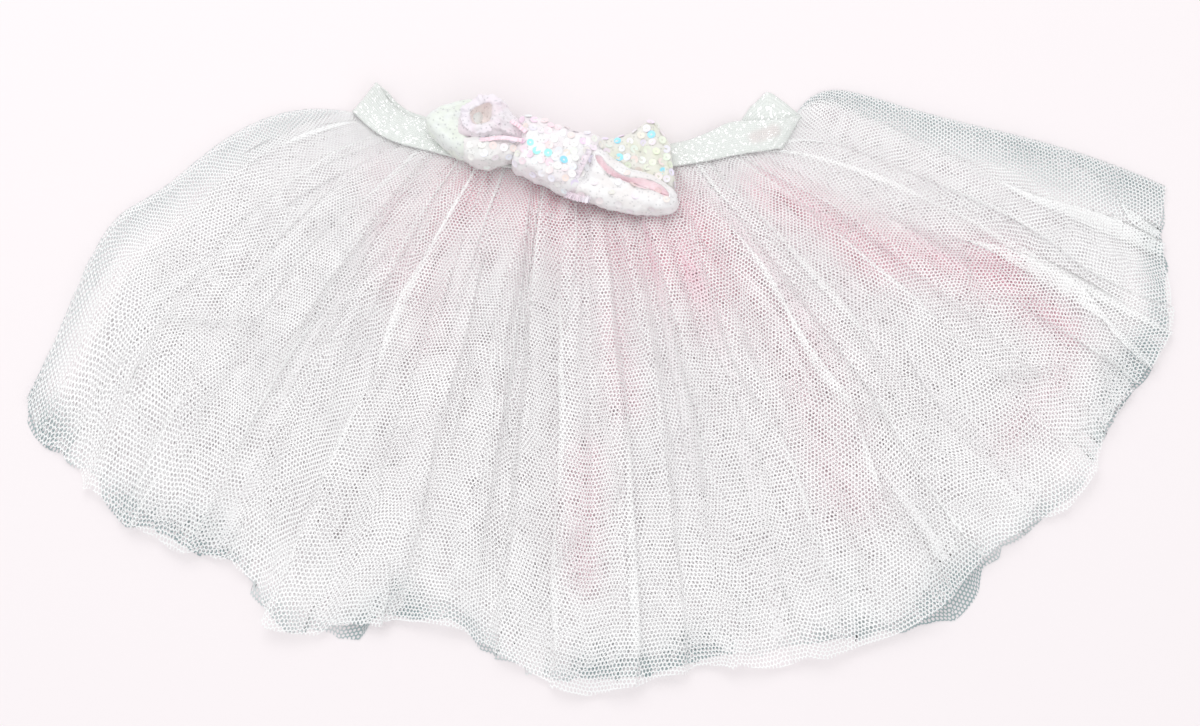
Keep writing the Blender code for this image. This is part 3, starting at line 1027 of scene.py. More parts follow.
    def chart(self, points: np.ndarray, parts: np.ndarray, rng: np.random.Generator) -> np.ndarray:
        """Lays the net's own map over the cloth at true scale, fold by fold.

        Args:
            points: The skirt's rows and columns of points.
            parts: The columns at which one fold's map ends and the next begins.
            rng: Where each fold's small turn is drawn from.

        Returns:
            The map's places by row, column of faces, and side.
        """
        step = np.linalg.norm(np.diff(points, axis=1), axis=2)
        run = np.concatenate([np.zeros((len(points), 1)), np.cumsum(step, axis=1)], axis=1)
        edges = np.concatenate([[0], np.sort(parts), [run.shape[1] - 1]]).astype(int)
        part = np.searchsorted(edges, np.arange(run.shape[1] - 1), side="right") - 1
        middle = ((edges[:-1] + edges[1:]) // 2)[np.clip(part, 0, len(edges) - 2)]
        turn = rng.uniform(-0.30, 0.30, len(edges))[part]
        offset = rng.uniform(0, 0.02, len(edges))[part]
        fall = np.linspace(0, self.drop * self.layer.length, len(points))[:, None]
        sides = []
        for columns in (run[:, :-1], run[:, 1:]):
            along = columns - np.take_along_axis(run, np.broadcast_to(middle, columns.shape), axis=1)
            turned = along * np.cos(turn) - fall * np.sin(turn) + offset
            sides.append(np.stack([turned, along * np.sin(turn) + fall * np.cos(turn)], axis=-1))
        return np.stack(sides, axis=2)

    def build(self) -> bpy.types.Object:
        """Makes the skirt's mesh, dresses it and says what it is.

        Returns:
            The finished piece.
        """
        front, front_blush, front_parts = self.ply(Ply.FRONT)
        back, back_blush, back_parts = self.ply(Ply.BACK)
        parts = np.round(np.concatenate([front_parts, 1 + back_parts]) * self.columns)
        points = np.concatenate([front, back[:, 1:]], axis=1)
        blush = np.concatenate([front_blush, back_blush[:, 1:]], axis=1)
        points[:, -1] = points[:, 0]
        join = self.columns
        points[:, join] = (front[:, -1] + back[:, 0]) / 2
        chart = self.chart(points, parts, np.random.default_rng(self.seed + 90))
        rim_shade = self.rim_shade(points, front.shape[1])
        mesh = sew(self.name, points[::-1], self.cut, {PINK_AND_SHADE: blush[::-1], RIM_SHADE: rim_shade[::-1]}, chart[::-1])
        obj = as_piece(self.name, mesh, self.finish.make())
        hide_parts(self.node)
        LOG.info("%s: surface %.4f square metres", self.name, sum(face.area for face in mesh.polygons))
        return obj


# ------------------------------------------------------------------------------ waistband


@dataclass
class Waistband:
    """A ring of knitted elastic laid flat, its left fold raised and its back ply showing at the right."""

    plan: Plan
    finish: ElasticFinish = field(default_factory=ElasticFinish)
    cut: tuple = (0.470, 0.018)
    width: float = 0.0165
    thickness: float = 0.0013
    columns: int = 420
    rows: int = 12
    back_height: float = 0.0009
    front_height: float = 0.0056
    side_round: float = 0.0028
    lean_places: tuple = (-1.0, -0.90, -0.78, 0.76, 0.82, 0.88, 1.0)
    lean_right: tuple = (0.0050, 0.0020, 0.0, 0.0, 0.0060, 0.0165, 0.0195)
    front_places: tuple = (-1.0, -0.85, -0.5, -0.2, 0.2, 0.47, 0.62, 0.72, 0.84, 1.0)
    front_extra: tuple = (
        -0.0010, -0.0018, -0.0005, -0.0030, -0.0055, -0.0050, -0.0022, 0.0006, 0.0010, 0.0035
    )
    back_places: tuple = (-1.0, -0.93, -0.75, -0.5, -0.2, 0.2, 0.47, 0.62, 0.72, 0.78, 0.87, 0.94, 1.0)
    back_extra: tuple = (
        -0.0010, 0.0016, 0.0012, -0.0005, -0.0030, -0.0058, -0.0038, -0.0026, 0.0, 0.0020, 0.0180, 0.0105,
        0.0035,
    )
    tip_lift: float = 0.0060
    dent: float = 0.0024
    dip_from: tuple = (0.0790, 0.1225)
    dip_to: tuple = (0.0890, 0.1265)
    dip_width: float = 0.0034

    def edge(self, across: np.ndarray, ply: Ply, up: float) -> np.ndarray:
        """Finds the band's points on one ply.

        Args:
            across: From -1 at the left fold to 1 at the right one.
            ply: Which ply.
            up: From 0 at the sewn edge to 1 at the free one.

        Returns:
            The points, before the side folds are rounded.
        """
        front = ply is Ply.FRONT
        if front:
            wide = self.width + smooth(across, self.front_places, self.front_extra)
        else:
            wide = self.width + np.interp(across, self.back_places, self.back_extra)
        plan = self.plan.waist(across, -wide * up)
        plan[..., 0] += up * np.interp(across, self.lean_places, self.lean_right)
        z = np.full_like(across, self.front_height if front else self.back_height)
        pucker = 0.00035 * np.sin(across * 95 + 2.0 * np.sin(across * 23)) * (1 - 0.6 * up)
        tip = self.tip_lift * up**2 * ease(-across, 0.80, 1.0)
        slump = 0.0014 * up * (1 if front else 0)
        sway = 0.0008 * np.sin(across * 11.0 + 0.7) * up
        z = z + pucker + tip - slump + (sway if front else 0.0)
        if front:
            hollow = np.exp(-(((across - 0.86) / 0.055) ** 2) - ((up - 0.45) / 0.35) ** 2)
            z = z - self.dent * hollow + 0.0012 * np.exp(-(((across - 0.93) / 0.03) ** 2)) * up
        return np.concatenate([plan, z[..., None]], axis=-1)

    def build(self) -> bpy.types.Object:
        """Makes the band's mesh and dresses it.

        Returns:
            The finished piece.
        """
        half = self.columns // 2
        across = -np.cos(np.linspace(0, pi, half + 1)) * 0.35 + np.linspace(-1, 1, half + 1) * 0.65
        rows = []
        for up in np.linspace(0, 1, self.rows + 1):
            plies = [self.edge(across, Ply.FRONT, up), self.edge(across[::-1], Ply.BACK, up)]
            depth = np.clip((1 - np.abs(across)) * self.plan.half_chord / self.side_round, 0, 1)
            opened = np.sqrt(1 - (1 - depth) ** 2)
            middle = (plies[0][:, 2] + plies[1][::-1, 2]) / 2
            plies[0][:, 2] = middle + (plies[0][:, 2] - middle) * opened
            plies[1][:, 2] = (middle + (plies[1][::-1, 2] - middle) * opened)[::-1]
            rows.append(np.concatenate([plies[0], plies[1][1:]]))
        points = thicken(np.array(rows), self.thickness)
        # Painted shade: this mask darkens the band's colour along the line where its hollow lies.
        apart, _ = beside(points, self.dip_from, self.dip_to)
        shade = np.exp(-((apart / self.dip_width) ** 4))
        mesh = sew("elastic_band", points, (self.cut[0], 2 * self.cut[1]), {PINK_AND_SHADE: shade})
        face_out(mesh)
        obj = as_piece("elastic_band", mesh, self.finish.make())
        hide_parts("waistband")
        return obj


# ------------------------------------------------------------------------------ bow


class Crease(NamedTuple):
    """A soft trough in the bow's cloth, from start to end. It is a ridge if its depth is below zero."""

    start: tuple
    end: tuple
    depth: float
    width: float


@dataclass(frozen=True)
class BowPiece:
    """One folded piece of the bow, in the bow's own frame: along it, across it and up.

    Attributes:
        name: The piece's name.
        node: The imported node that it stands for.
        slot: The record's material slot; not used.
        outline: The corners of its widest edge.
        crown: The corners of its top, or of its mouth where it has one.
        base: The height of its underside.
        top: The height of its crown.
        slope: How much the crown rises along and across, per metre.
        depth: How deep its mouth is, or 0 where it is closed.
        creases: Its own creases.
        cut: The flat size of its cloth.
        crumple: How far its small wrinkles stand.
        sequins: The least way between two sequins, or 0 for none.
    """

    name: str
    node: str
    slot: str
    outline: tuple
    crown: tuple
    base: float
    top: float
    slope: tuple
    depth: float
    creases: tuple
    cut: tuple
    crumple: float = 0.0008
    sequins: float = 0.0


class SequinSpot(NamedTuple):
    """A sequin that catches the light, and its tint."""

    along: float
    across: float
    tint: Tint


BOW_PIECES = (
    BowPiece(
        name="bow_rear_left", node="bow_loop_left_back", slot="shimmer_cloth",
        outline=((-0.067, -0.008), (-0.0665, -0.002), (-0.062, 0.004), (-0.055, 0.009), (-0.046, 0.013),
                 (-0.040, 0.006), (-0.038, -0.006), (-0.039, -0.015), (-0.044, -0.0185), (-0.051, -0.017),
                 (-0.060, -0.0135)),
        crown=((-0.058, -0.006), (-0.056, 0.001), (-0.049, 0.006), (-0.045, 0.003), (-0.044, -0.008),
               (-0.048, -0.011), (-0.054, -0.009)),
        base=-0.0035, top=0.0105, slope=(0.10, 0.02), depth=0.0,
        creases=(Crease((-0.064, -0.001), (-0.048, 0.0095), 0.0014, 0.0016),
                 Crease((-0.063, -0.008), (-0.047, -0.013), 0.0009, 0.0020),
                 Crease((-0.058, -0.003), (-0.050, 0.004), -0.0008, 0.0022)),
        cut=(0.042, 0.030), crumple=0.0006,
    ),
    BowPiece(
        name="bow_low_left", node="bow_loop_left_low", slot="sequin_cloth",
        outline=((-0.047, -0.011), (-0.044, -0.016), (-0.039, -0.0192), (-0.031, -0.0197), (-0.025, -0.0165),
                 (-0.019, -0.012), (-0.015, -0.006), (-0.017, 0.000), (-0.026, -0.001), (-0.036, -0.005),
                 (-0.043, -0.008)),
        crown=((-0.041, -0.0115), (-0.037, -0.0145), (-0.030, -0.0150), (-0.024, -0.0115), (-0.021, -0.0070),
               (-0.028, -0.0060), (-0.036, -0.0085)),
        base=-0.002, top=0.0125, slope=(0.06, 0.0), depth=0.0,
        creases=(Crease((-0.043, -0.012), (-0.036, -0.017), 0.0010, 0.0018),
                 Crease((-0.025, -0.016), (-0.020, -0.007), 0.0012, 0.0018)),
        cut=(0.036, 0.0265), crumple=0.0009, sequins=0.0042,
    ),
    BowPiece(
        name="bow_front_left", node="bow_loop_left_front", slot="sequin_cloth",
        outline=((-0.0520, -0.001), (-0.0500, 0.007), (-0.0440, 0.0125), (-0.0365, 0.0165), (-0.0320, 0.0145),
                 (-0.0270, 0.0115), (-0.0190, 0.0080), (-0.0140, 0.0040), (-0.0150, -0.0015),
                 (-0.0250, -0.0035), (-0.0350, -0.0075), (-0.0450, -0.0100), (-0.0500, -0.0075)),
        crown=((-0.0465, 0.0015), (-0.0440, 0.0060), (-0.0395, 0.0100), (-0.0360, 0.0075), (-0.0350, 0.0010),
               (-0.0385, -0.0030), (-0.0430, -0.0035)),
        base=0.0, top=0.0165, slope=(0.05, -0.05), depth=0.0085,
        creases=(Crease((-0.033, 0.009), (-0.018, 0.004), 0.0018, 0.0018),
                 Crease((-0.033, 0.003), (-0.017, 0.000), 0.0016, 0.0016),
                 Crease((-0.031, 0.006), (-0.019, 0.002), -0.0010, 0.0016),
                 Crease((-0.036, -0.004), (-0.026, -0.003), 0.0008, 0.0016)),
        cut=(0.052, 0.029), crumple=0.0012,
    ),
    BowPiece(
        name="bow_rear_right", node="bow_loop_right_back", slot="sequin_cloth",
        outline=((0.0150, 0.0140), (0.0200, 0.0168), (0.0270, 0.0200), (0.0330, 0.0262), (0.0385, 0.0345),
                 (0.0425, 0.0350), (0.0480, 0.0300), (0.0540, 0.0250), (0.0585, 0.0150), (0.0630, 0.0075),
                 (0.0620, 0.0040), (0.0500, 0.0040), (0.0360, 0.0045), (0.0200, 0.0070)),
        crown=((0.0240, 0.0120), (0.0320, 0.0175), (0.0400, 0.0275), (0.0445, 0.0255), (0.0510, 0.0175),
               (0.0540, 0.0095), (0.0440, 0.0080), (0.0320, 0.0085)),
        base=-0.0005, top=0.0100, slope=(0.0, 0.03), depth=0.0,
        creases=(Crease((0.040, 0.027), (0.045, 0.010), 0.0013, 0.0022),
                 Crease((0.030, 0.019), (0.046, 0.009), -0.0008, 0.0020),
                 Crease((0.052, 0.021), (0.056, 0.008), 0.0012, 0.0018),
                 Crease((0.022, 0.015), (0.034, 0.009), 0.0012, 0.0020)),
        cut=(0.048, 0.030), crumple=0.0006, sequins=0.0037,
    ),
    BowPiece(
        name="bow_middle", node="bow_knot", slot="sequin_cloth",
        outline=((-0.0240, 0.0105), (-0.0160, 0.0128), (-0.0060, 0.0126), (0.0070, 0.0130), (0.0160, 0.0160),
                 (0.0215, 0.0130), (0.0220, 0.0040), (0.0205, -0.0060), (0.0190, -0.0160), (0.0090, -0.0182),
                 (0.0000, -0.0168), (-0.0110, -0.0162), (-0.0172, -0.0150),
                 (-0.0188, -0.0080), (-0.0190, 0.0010)),
        crown=((-0.0120, 0.0070), (-0.0020, 0.0080), (0.0100, 0.0085), (0.0140, 0.0030), (0.0135, -0.0080),
               (0.0060, -0.0115), (-0.0060, -0.0100), (-0.0125, -0.0060), (-0.0140, 0.0010)),
        base=-0.0010, top=0.0170, slope=(0.03, 0.02), depth=0.0,
        creases=(Crease((-0.020, 0.009), (0.000, 0.0095), 0.0012, 0.0018),
                 Crease((-0.017, -0.010), (0.004, -0.0135), 0.0010, 0.0020),
                 Crease((0.012, 0.012), (0.017, -0.014), 0.0016, 0.0020),
                 Crease((-0.016, 0.004), (-0.004, -0.002), -0.0008, 0.0024),
                 Crease((0.002, 0.006), (0.010, -0.008), 0.0009, 0.0018)),
        cut=(0.058, 0.042), crumple=0.0010, sequins=0.0036,
    ),
    BowPiece(
        name="bow_front_right", node="bow_loop_right_front", slot="sequin_cloth",
        outline=((0.0160, 0.0070), (0.0240, 0.0080), (0.0320, 0.0056), (0.0420, 0.0050), (0.0520, 0.0052),
                 (0.0605, 0.0032), (0.0662, -0.0005), (0.0684, -0.0052), (0.0650, -0.0096), (0.0575, -0.0135),
                 (0.0450, -0.0172), (0.0340, -0.0187), (0.0255, -0.0184), (0.0170, -0.0165),
                 (0.0165, -0.0080)),
        crown=((0.0205, 0.0028), (0.0240, 0.0035), (0.0290, 0.0002), (0.0360, -0.0018), (0.0440, -0.0006),
               (0.0525, 0.0005), (0.0600, -0.0008), (0.0640, -0.0032), (0.0610, -0.0048), (0.0545, -0.0042),
               (0.0470, -0.0050), (0.0390, -0.0050), (0.0300, -0.0036), (0.0245, -0.0012)),
        base=0.0045, top=0.0165, slope=(0.02, 0.04), depth=0.0060,
        creases=(Crease((0.020, -0.008), (0.044, -0.0105), 0.0016, 0.0022),
                 Crease((0.028, -0.015), (0.056, -0.0095), -0.0008, 0.0022),
                 Crease((0.018, 0.001), (0.020, -0.014), 0.0014, 0.0020),
                 Crease((0.030, 0.003), (0.050, 0.003), 0.0007, 0.0016)),
        cut=(0.085, 0.030), crumple=0.0010, sequins=0.0062,
    ),
)

BRIGHT_SEQUINS = (
    SequinSpot(along=-0.0120, across=-0.0030, tint=Tint.AQUA),
    SequinSpot(along=-0.0074, across=-0.0060, tint=Tint.AQUA),
    SequinSpot(along=-0.0016, across=-0.0051, tint=Tint.AQUA),
    SequinSpot(along=0.0070, across=-0.0054, tint=Tint.BLUE),
    SequinSpot(along=-0.0138, across=-0.0073, tint=Tint.ROSE),
    SequinSpot(along=-0.0034, across=-0.0095, tint=Tint.ROSE),
    SequinSpot(along=0.0278, across=0.0168, tint=Tint.BLUE),
    SequinSpot(along=0.0392, across=0.0284, tint=Tint.LILAC),
    SequinSpot(along=0.0426, across=0.0262, tint=Tint.BLUE),
    SequinSpot(along=0.0550, across=0.0103, tint=Tint.BLUE),
    SequinSpot(along=0.0318, across=0.0090, tint=Tint.BLUE),
)


PALE = (0.86, 0.85, 0.86)
BOW_CLOTHS = {
    "bow_rear_left": BowClothFinish("mint_cloth", (0.77, 0.80, 0.785), (0.74, 0.80, 0.68), 0.55),
    "bow_low_left": BowClothFinish("low_sequin_cloth", (0.80, 0.80, 0.79), (0.81, 0.735, 0.755), 0.4),
    "bow_front_left": BowClothFinish("lilac_cloth", (0.80, 0.765, 0.80), (0.81, 0.66, 0.725), 0.5),
    "bow_rear_right": BowClothFinish("green_sequin_cloth", (0.755, 0.745, 0.70), (0.70, 0.72, 0.58), 0.6),
    "bow_middle": BowClothFinish("middle_sequin_cloth", PALE, (0.80, 0.70, 0.745), 0.5),
    "bow_front_right": BowClothFinish("right_sequin_cloth", PALE, (0.775, 0.725, 0.71), 0.5),
}
BOW_BEIGE = BowClothFinish("beige_lining", (0.86, 0.79, 0.77), (0.865, 0.735, 0.745), 0.6)

SEQUIN_CASTS = {
    "bow_middle": (Tint.PEARL, Tint.LILAC, Tint.ROSE, Tint.PEARL, Tint.BEIGE),
    "bow_low_left": (Tint.PEARL, Tint.PEARL, Tint.BEIGE),
    "bow_rear_right": (Tint.BEIGE, Tint.GREEN, Tint.PEARL, Tint.GREEN, Tint.LILAC),
    "bow_front_right": (Tint.PEARL, Tint.BEIGE),
}


@dataclass
class Bow:
    """The sequinned bow: folded pieces of cloth, a ruffled rim, pink edging and loose sequins."""

    turn: float = radians(-21.0)
    tilt: float = radians(-7.0)
    columns: int = 150
    sequin_radius: float = 0.0020
    sequin_hole: float = 0.0005
    sequin_cup: float = 0.00022
    sequin_middle: float = 0.62
    sequin_lift: float = 0.00025
    flattest: float = 0.35
    above: float = 0.06
    seed: int = 5
    trees: dict = field(default_factory=dict)

    def place(self) -> Matrix:
        """Returns the bow's frame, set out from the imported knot."""
        low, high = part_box("bow_knot")
        middle = (low + high) / 2
        spot = Matrix.Translation((middle.x - 0.0006, middle.y - 0.0010, low.z + 0.0006))
        return spot @ Matrix.Rotation(self.turn, 4, "Z") @ Matrix.Rotation(self.tilt, 4, "X")

    def profile(self, piece: BowPiece) -> list:
        """Lists the rows of one piece.

        Args:
            piece: The piece.

        Returns:
            For each row, its way from outline to crown, its height's share, and how far it has sunk.
        """
        rows = [(-1.0, 0.0, 0.0), (-0.5, 0.0, 0.0), (-0.12, 0.0, 0.0)]
        for step in np.linspace(0, 1, 16):
            angle = step * pi / 2
            rows.append(((1 - cos(angle)) ** 1.5, 0.10 + 0.90 * sin(angle) ** 0.8, 0.0))
        closed = (0.15, 0.3, 0.5, 0.7, 0.85, 1.0)
        steps = (0.04, 0.10, 0.20, 0.35, 0.5, 0.65, 0.8, 0.9, 1.0) if piece.depth else closed
        return rows + [(1.0, 1.0, step) for step in steps]

    def placed(self, points: np.ndarray) -> np.ndarray:
        """Returns points of the bow's own frame in the tutu's."""
        matrix = np.array(self.place())
        return points @ matrix[:3, :3].T + matrix[:3, 3]

    def creased(self, piece: BowPiece, along: np.ndarray, across: np.ndarray) -> np.ndarray:
        """Returns how far the cloth stands out from its form at each place, from its listed creases."""
        out = np.zeros_like(along)
        for crease in piece.creases:
            start, end = np.array(crease.start), np.array(crease.end)
            way = end - start
            share = ((along - start[0]) * way[0] + (across - start[1]) * way[1]) / (way @ way)
            held = np.clip(share, 0, 1)
            apart = np.hypot(along - start[0] - held * way[0], across - start[1] - held * way[1])
            fade = ease(share, -0.25, 0.25) * (1 - ease(share, 0.75, 1.25))
            out -= crease.depth * np.exp(-((apart / crease.width) ** 2)) * fade
        return out

    def surface(self, piece: BowPiece) -> tuple:
        """Works out one piece's points in the bow's frame.

        Args:
            piece: The piece.

        Returns:
            The rows and columns of points, and how many rows lie outside its mouth.
        """
        outline = ring_through(piece.outline, self.columns)
        crown = ring_through(piece.crown, self.columns)
        start = int(np.argmin(np.linalg.norm(crown[:-1] - outline[0], axis=1)))
        crown = np.roll(crown[:-1], -start, axis=0)
        crown = np.vstack([crown, crown[:1]])
        centre = outline[:-1].mean(axis=0)
        rows = []
        spine = crown[:-1].mean(axis=0)
        lengthways = np.array([1.0, 0.0]) if piece.depth and np.ptp(crown[:, 0]) > 0.02 else np.zeros(2)
        for inward, up, sunk in self.profile(piece):
            if inward < 0:
                flat = centre + (outline - centre) * (1 + inward)
            else:
                flat = outline + (crown - outline) * inward
            if sunk:
                kept = spine + ((crown - spine) @ lengthways)[:, None] * lengthways * 0.9
                flat = crown + (kept - crown) * (sunk if not piece.depth else 0.85 * sunk**1.5)
                if sunk == 1.0:
                    flat = kept if lengthways.any() else kept * 0 + spine
            raised = piece.top + (crown - centre) @ np.array(piece.slope)
            z = piece.base + (raised - piece.base) * up
            z = z - piece.depth * sunk**0.8 if piece.depth else z + 0.0006 * sin(sunk * pi / 2)
            rows.append(np.column_stack([flat, z * np.ones(len(flat))]))
        points = np.array(rows)
        outside = len([row for row in self.profile(piece) if not row[2]])
        normal = normals_of(points)
        if normal[outside // 2, :, 2].mean() < 0:
            normal = -normal
        out = self.creased(piece, points[..., 0], points[..., 1])
        for index in np.ndindex(points.shape[:2]):
            spot = Vector(points[index])
            rough = noise.noise(spot * 130.0) + 0.5 * noise.noise(spot * 330.0)
            out[index] += piece.crumple * (rough + 0.25 * noise.noise(spot * 800.0))
        strength = np.array([0.0 if row[0] < -0.2 else 1.0 for row in self.profile(piece)])
        out *= strength[:, None]
        out[-1] *= 0.0
        points += normal * out[..., None]
        return points, outside

    def make_piece(self, piece: BowPiece, cloth: BowClothFinish, lining: object) -> bpy.types.Object:
        """Makes and dresses one folded piece.

        Args:
            piece: The piece.
            cloth: Its outer finish.
            lining: The finish inside its mouth.

        Returns:
            The finished piece.
        """
        points, outside = self.surface(piece)
        mesh = sew(piece.name, self.placed(points), piece.cut)
        rows = points.shape[0] - 1
        inside = np.zeros(len(mesh.polygons), np.int32)
        uv = mesh.uv_layers[CLOTH_MAP]
        for polygon in mesh.polygons:
            height = sum(uv.data[loop].uv.y for loop in polygon.loop_indices) / polygon.loop_total
            inside[polygon.index] = height / piece.cut[1] * rows > outside - 0.5
        face_out(mesh)
        if piece.depth:
            mesh.polygons.foreach_set("material_index", inside)
        obj = as_piece(piece.name, mesh, cloth.make(), lining.make())
        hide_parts(piece.node)
        corners = [vert.co.copy() for vert in mesh.vertices]
        faces = [tuple(polygon.vertices) for polygon in mesh.polygons]
        self.trees[piece.name] = BVHTree.FromPolygons(corners, faces)
        return obj

    def build(self) -> list:
        """Makes the bow's pieces, its frills and its sequins.

        Returns:
            The finished pieces.
        """
        pieces = []
        for piece in BOW_PIECES:
            lining = BOW_BEIGE if piece.name == "bow_front_left" else SatinFinish(piece.name + "_satin")
            pieces.append(self.make_piece(piece, BOW_CLOTHS[piece.name], lining))
        frills = self.frills()
        sequins = self.sequins()
        for piece, obj in zip(BOW_PIECES, pieces):
            area = sum(face.area for face in obj.data.polygons)
            LOG.info("%s: surface %.5f square metres", piece.name, area)
        return [*pieces, *frills, sequins]

    def frills(self) -> list:
        """Returns the ruffled rim of the left loop and the short ruffles beside the knot."""
        lilac = BowClothFinish("lilac_frill", (0.81, 0.765, 0.82), (0.82, 0.66, 0.735), 0.5)
        rim = next(piece for piece in BOW_PIECES if piece.name == "bow_front_left")
        curve = ring_through(tuple((*corner, rim.top - 0.0012) for corner in rim.crown), 260)
        pink = SatinFinish("pink_edging", (0.93, 0.70, 0.77))
        edge = (
            (-0.0470, -0.0102, 0.0075), (-0.0360, -0.0078, 0.0120), (-0.0265, -0.0042, 0.0150),
            (-0.0165, -0.0022, 0.0160),
        )
        streak = ((-0.0250, 0.0052, 0.0165), (-0.0205, 0.0040, 0.0172), (-0.0155, 0.0022, 0.0170))
        tuft = ((0.0140, -0.0172, 0.0080), (0.0200, -0.0178, 0.0105), (0.0262, -0.0170, 0.0120))
        lace = (
            (0.0165, 0.0090, 0.0150), (0.0185, 0.0020, 0.0185), (0.0178, -0.0065, 0.0180),
            (0.0170, -0.0130, 0.0140),
        )
        return [
            self.frill("bow_rim_frill", curve, 0.0052, 6, 0.0009, lilac, True),
            self.frill("bow_edge_frill", self.line(edge), 0.0026, 6, 0.0005, pink, False),
            self.frill("bow_streak_frill", self.line(streak), 0.0026, 3, 0.0005, pink, False),
            self.frill("bow_tuft_frill", self.line(tuft), 0.0046, 5, 0.0009, lilac, False),
            self.frill("bow_side_frill", self.line(lace), 0.0030, 9, 0.0008, lilac, False),
        ]

    def line(self, corners: tuple, count: int = 120) -> np.ndarray:
        """Returns an open line through these corners, smoothly drawn."""
        knots = np.array(corners)
        places = np.linspace(0, 1, len(knots))
        wanted = np.linspace(0, 1, count + 1)
        return np.stack([smooth(wanted, places, column) for column in knots.T], axis=1)

    def frill(
        self,
        name: str,
        curve: np.ndarray,
        width: float,
        waves: int,
        sway: float,
        finish: object,
        closed: bool,
    ) -> bpy.types.Object:
        """Makes one ruffled strip of cloth that stands on a line.

        Args:
            name: The piece's name.
            curve: The line, in the bow's frame.
            width: The strip's width.
            waves: How many ruffles it has.
            sway: How far they stand out at the free edge.
            finish: Its finish.
            closed: Whether the line is a ring.

        Returns:
            The finished piece.
        """
        way = np.gradient(curve, axis=0)
        if closed:
            way[0] = way[-1] = curve[1] - curve[-2]
        side = np.stack([way[:, 1], -way[:, 0], np.zeros(len(way))], axis=1)
        side /= np.linalg.norm(side, axis=1, keepdims=True)
        middle = curve.mean(axis=0)
        if closed and ((curve - middle) * side).sum() < 0:
            side = -side
        share = np.linspace(0, 1, len(curve))
        turning = tau * waves * share + 1.3 * np.sin(tau * 3 * share + 0.6) + 0.9 * np.sin(tau * 5 * share)
        rows = []
        for step in np.linspace(0, 1, 9):
            reach = width * (0.30 * step - 0.05 + 0.60 * step**2)
            lift = width * (0.75 * step - 0.62 * step**2)
            wave = sway * step**0.8 * np.sin(turning + 0.8 * step)
            ripple = 0.4 * sway * step * np.sin(2.3 * turning + 1.0)
            fringe = width * 0.06 * step**3 * np.sin(3.3 * turning + 2.0 * np.sin(tau * 4 * share))
            outwards = side * (reach + 0.5 * wave + fringe)[:, None]
            rows.append(curve + outwards + np.outer(lift + wave + ripple, (0, 0, 1)))
        points = self.placed(np.array(rows))
        length = float(np.linalg.norm(np.diff(points[4], axis=0), axis=1).sum())
        mesh = sew(name, points, (length, width))
        obj = as_piece(name, mesh, finish.make())
        return obj

    def sequins(self) -> bpy.types.Object:
        """Scatters the sequins over the bow's upper faces and joins them in one mesh.

        Returns:
            The finished piece.
        """
        rng = np.random.default_rng(self.seed)
        spots = [(bright.along, bright.across, bright.tint) for bright in BRIGHT_SEQUINS]
        for piece in BOW_PIECES:
            if not piece.sequins:
                continue
            outline, casts = np.array(piece.outline), SEQUIN_CASTS[piece.name]
            low, high = outline.min(axis=0), outline.max(axis=0)
            for _ in range(1500):
                along, across = rng.uniform(low, high)
                if all(np.hypot(along - x, across - y) > piece.sequins for x, y, _tint in spots):
                    tint = casts[rng.integers(len(casts))]
                    name, _, normal = self.highest(along, across) or (None, None, None)
                    if name == piece.name and normal.z > self.flattest:
                        spots.append((along, across, tint))
        bm = bmesh.new()
        layer = bm.verts.layers.float_color.new(TINT)
        for along, across, tint in spots:
            name, place, normal = self.highest(along, across) or (None, None, None)
            if name is None:
                continue
            lean = Vector(rng.uniform(-0.12, 0.12, 3)) + normal
            turn = lean.to_track_quat("Z", "Y").to_matrix().to_4x4()
            self.sequin(bm, layer, Matrix.Translation(place + normal * self.sequin_lift) @ turn, tint, rng)
        obj = as_piece("bow_sequins", mesh_from(bm, "bow_sequins"), SequinFinish().make())
        return obj

    def highest(self, along: float, across: float) -> Optional[tuple]:
        """Returns the name, place and upward normal of the highest cloth over this place, if any."""
        matrix = self.place()
        start = matrix @ Vector((along, across, self.above))
        way = (matrix.to_3x3() @ Vector((0, 0, -1))).normalized()
        found = []
        for name, tree in self.trees.items():
            place, normal, _, far = tree.ray_cast(start, way)
            if place is not None:
                found.append((far, name, place, normal if normal.z > 0 else -normal))
        return min(found, key=lambda row: row[0])[1:] if found else None

    def sequin(
        self, bm: bmesh.types.BMesh, layer: object, place: Matrix, tint: Tint, rng: np.random.Generator
    ) -> None:
        """Adds one cupped ring to the joined mesh.

        Args:
            bm: The joined mesh.
            layer: The layer that holds each corner's colour.
            place: Where the sequin lies.
            tint: Its tint.
            rng: Where its size and its shade are drawn from.
        """
        radius = self.sequin_radius * rng.uniform(0.88, 1.06)
        made = bmesh.ops.create_circle(bm, cap_ends=False, segments=14, radius=radius, matrix=place)
        verts = list(made["verts"])
        edges = list({edge for vert in verts for edge in vert.link_edges})
        middle = place.translation
        sink = place.to_3x3() @ Vector((0, 0, -1)) * self.sequin_cup * 0.5
        colour = [*(min(1.0, channel * rng.uniform(0.95, 1.05)) for channel in tint.value), 1.0]
        before = 1.0
        for share in (self.sequin_middle, self.sequin_hole / self.sequin_radius):
            grown = bmesh.ops.extrude_edge_only(bm, edges=edges)["geom"]
            edges = [item for item in grown if isinstance(item, bmesh.types.BMEdge)]
            ring = [item for item in grown if isinstance(item, bmesh.types.BMVert)]
            for vert in ring:
                vert.co = middle + (vert.co - middle) * (share / before) + sink
            middle, before = middle + sink, share
            verts += ring
        for vert in verts:
            vert[layer] = colour


# ------------------------------------------------------------------------------ studio


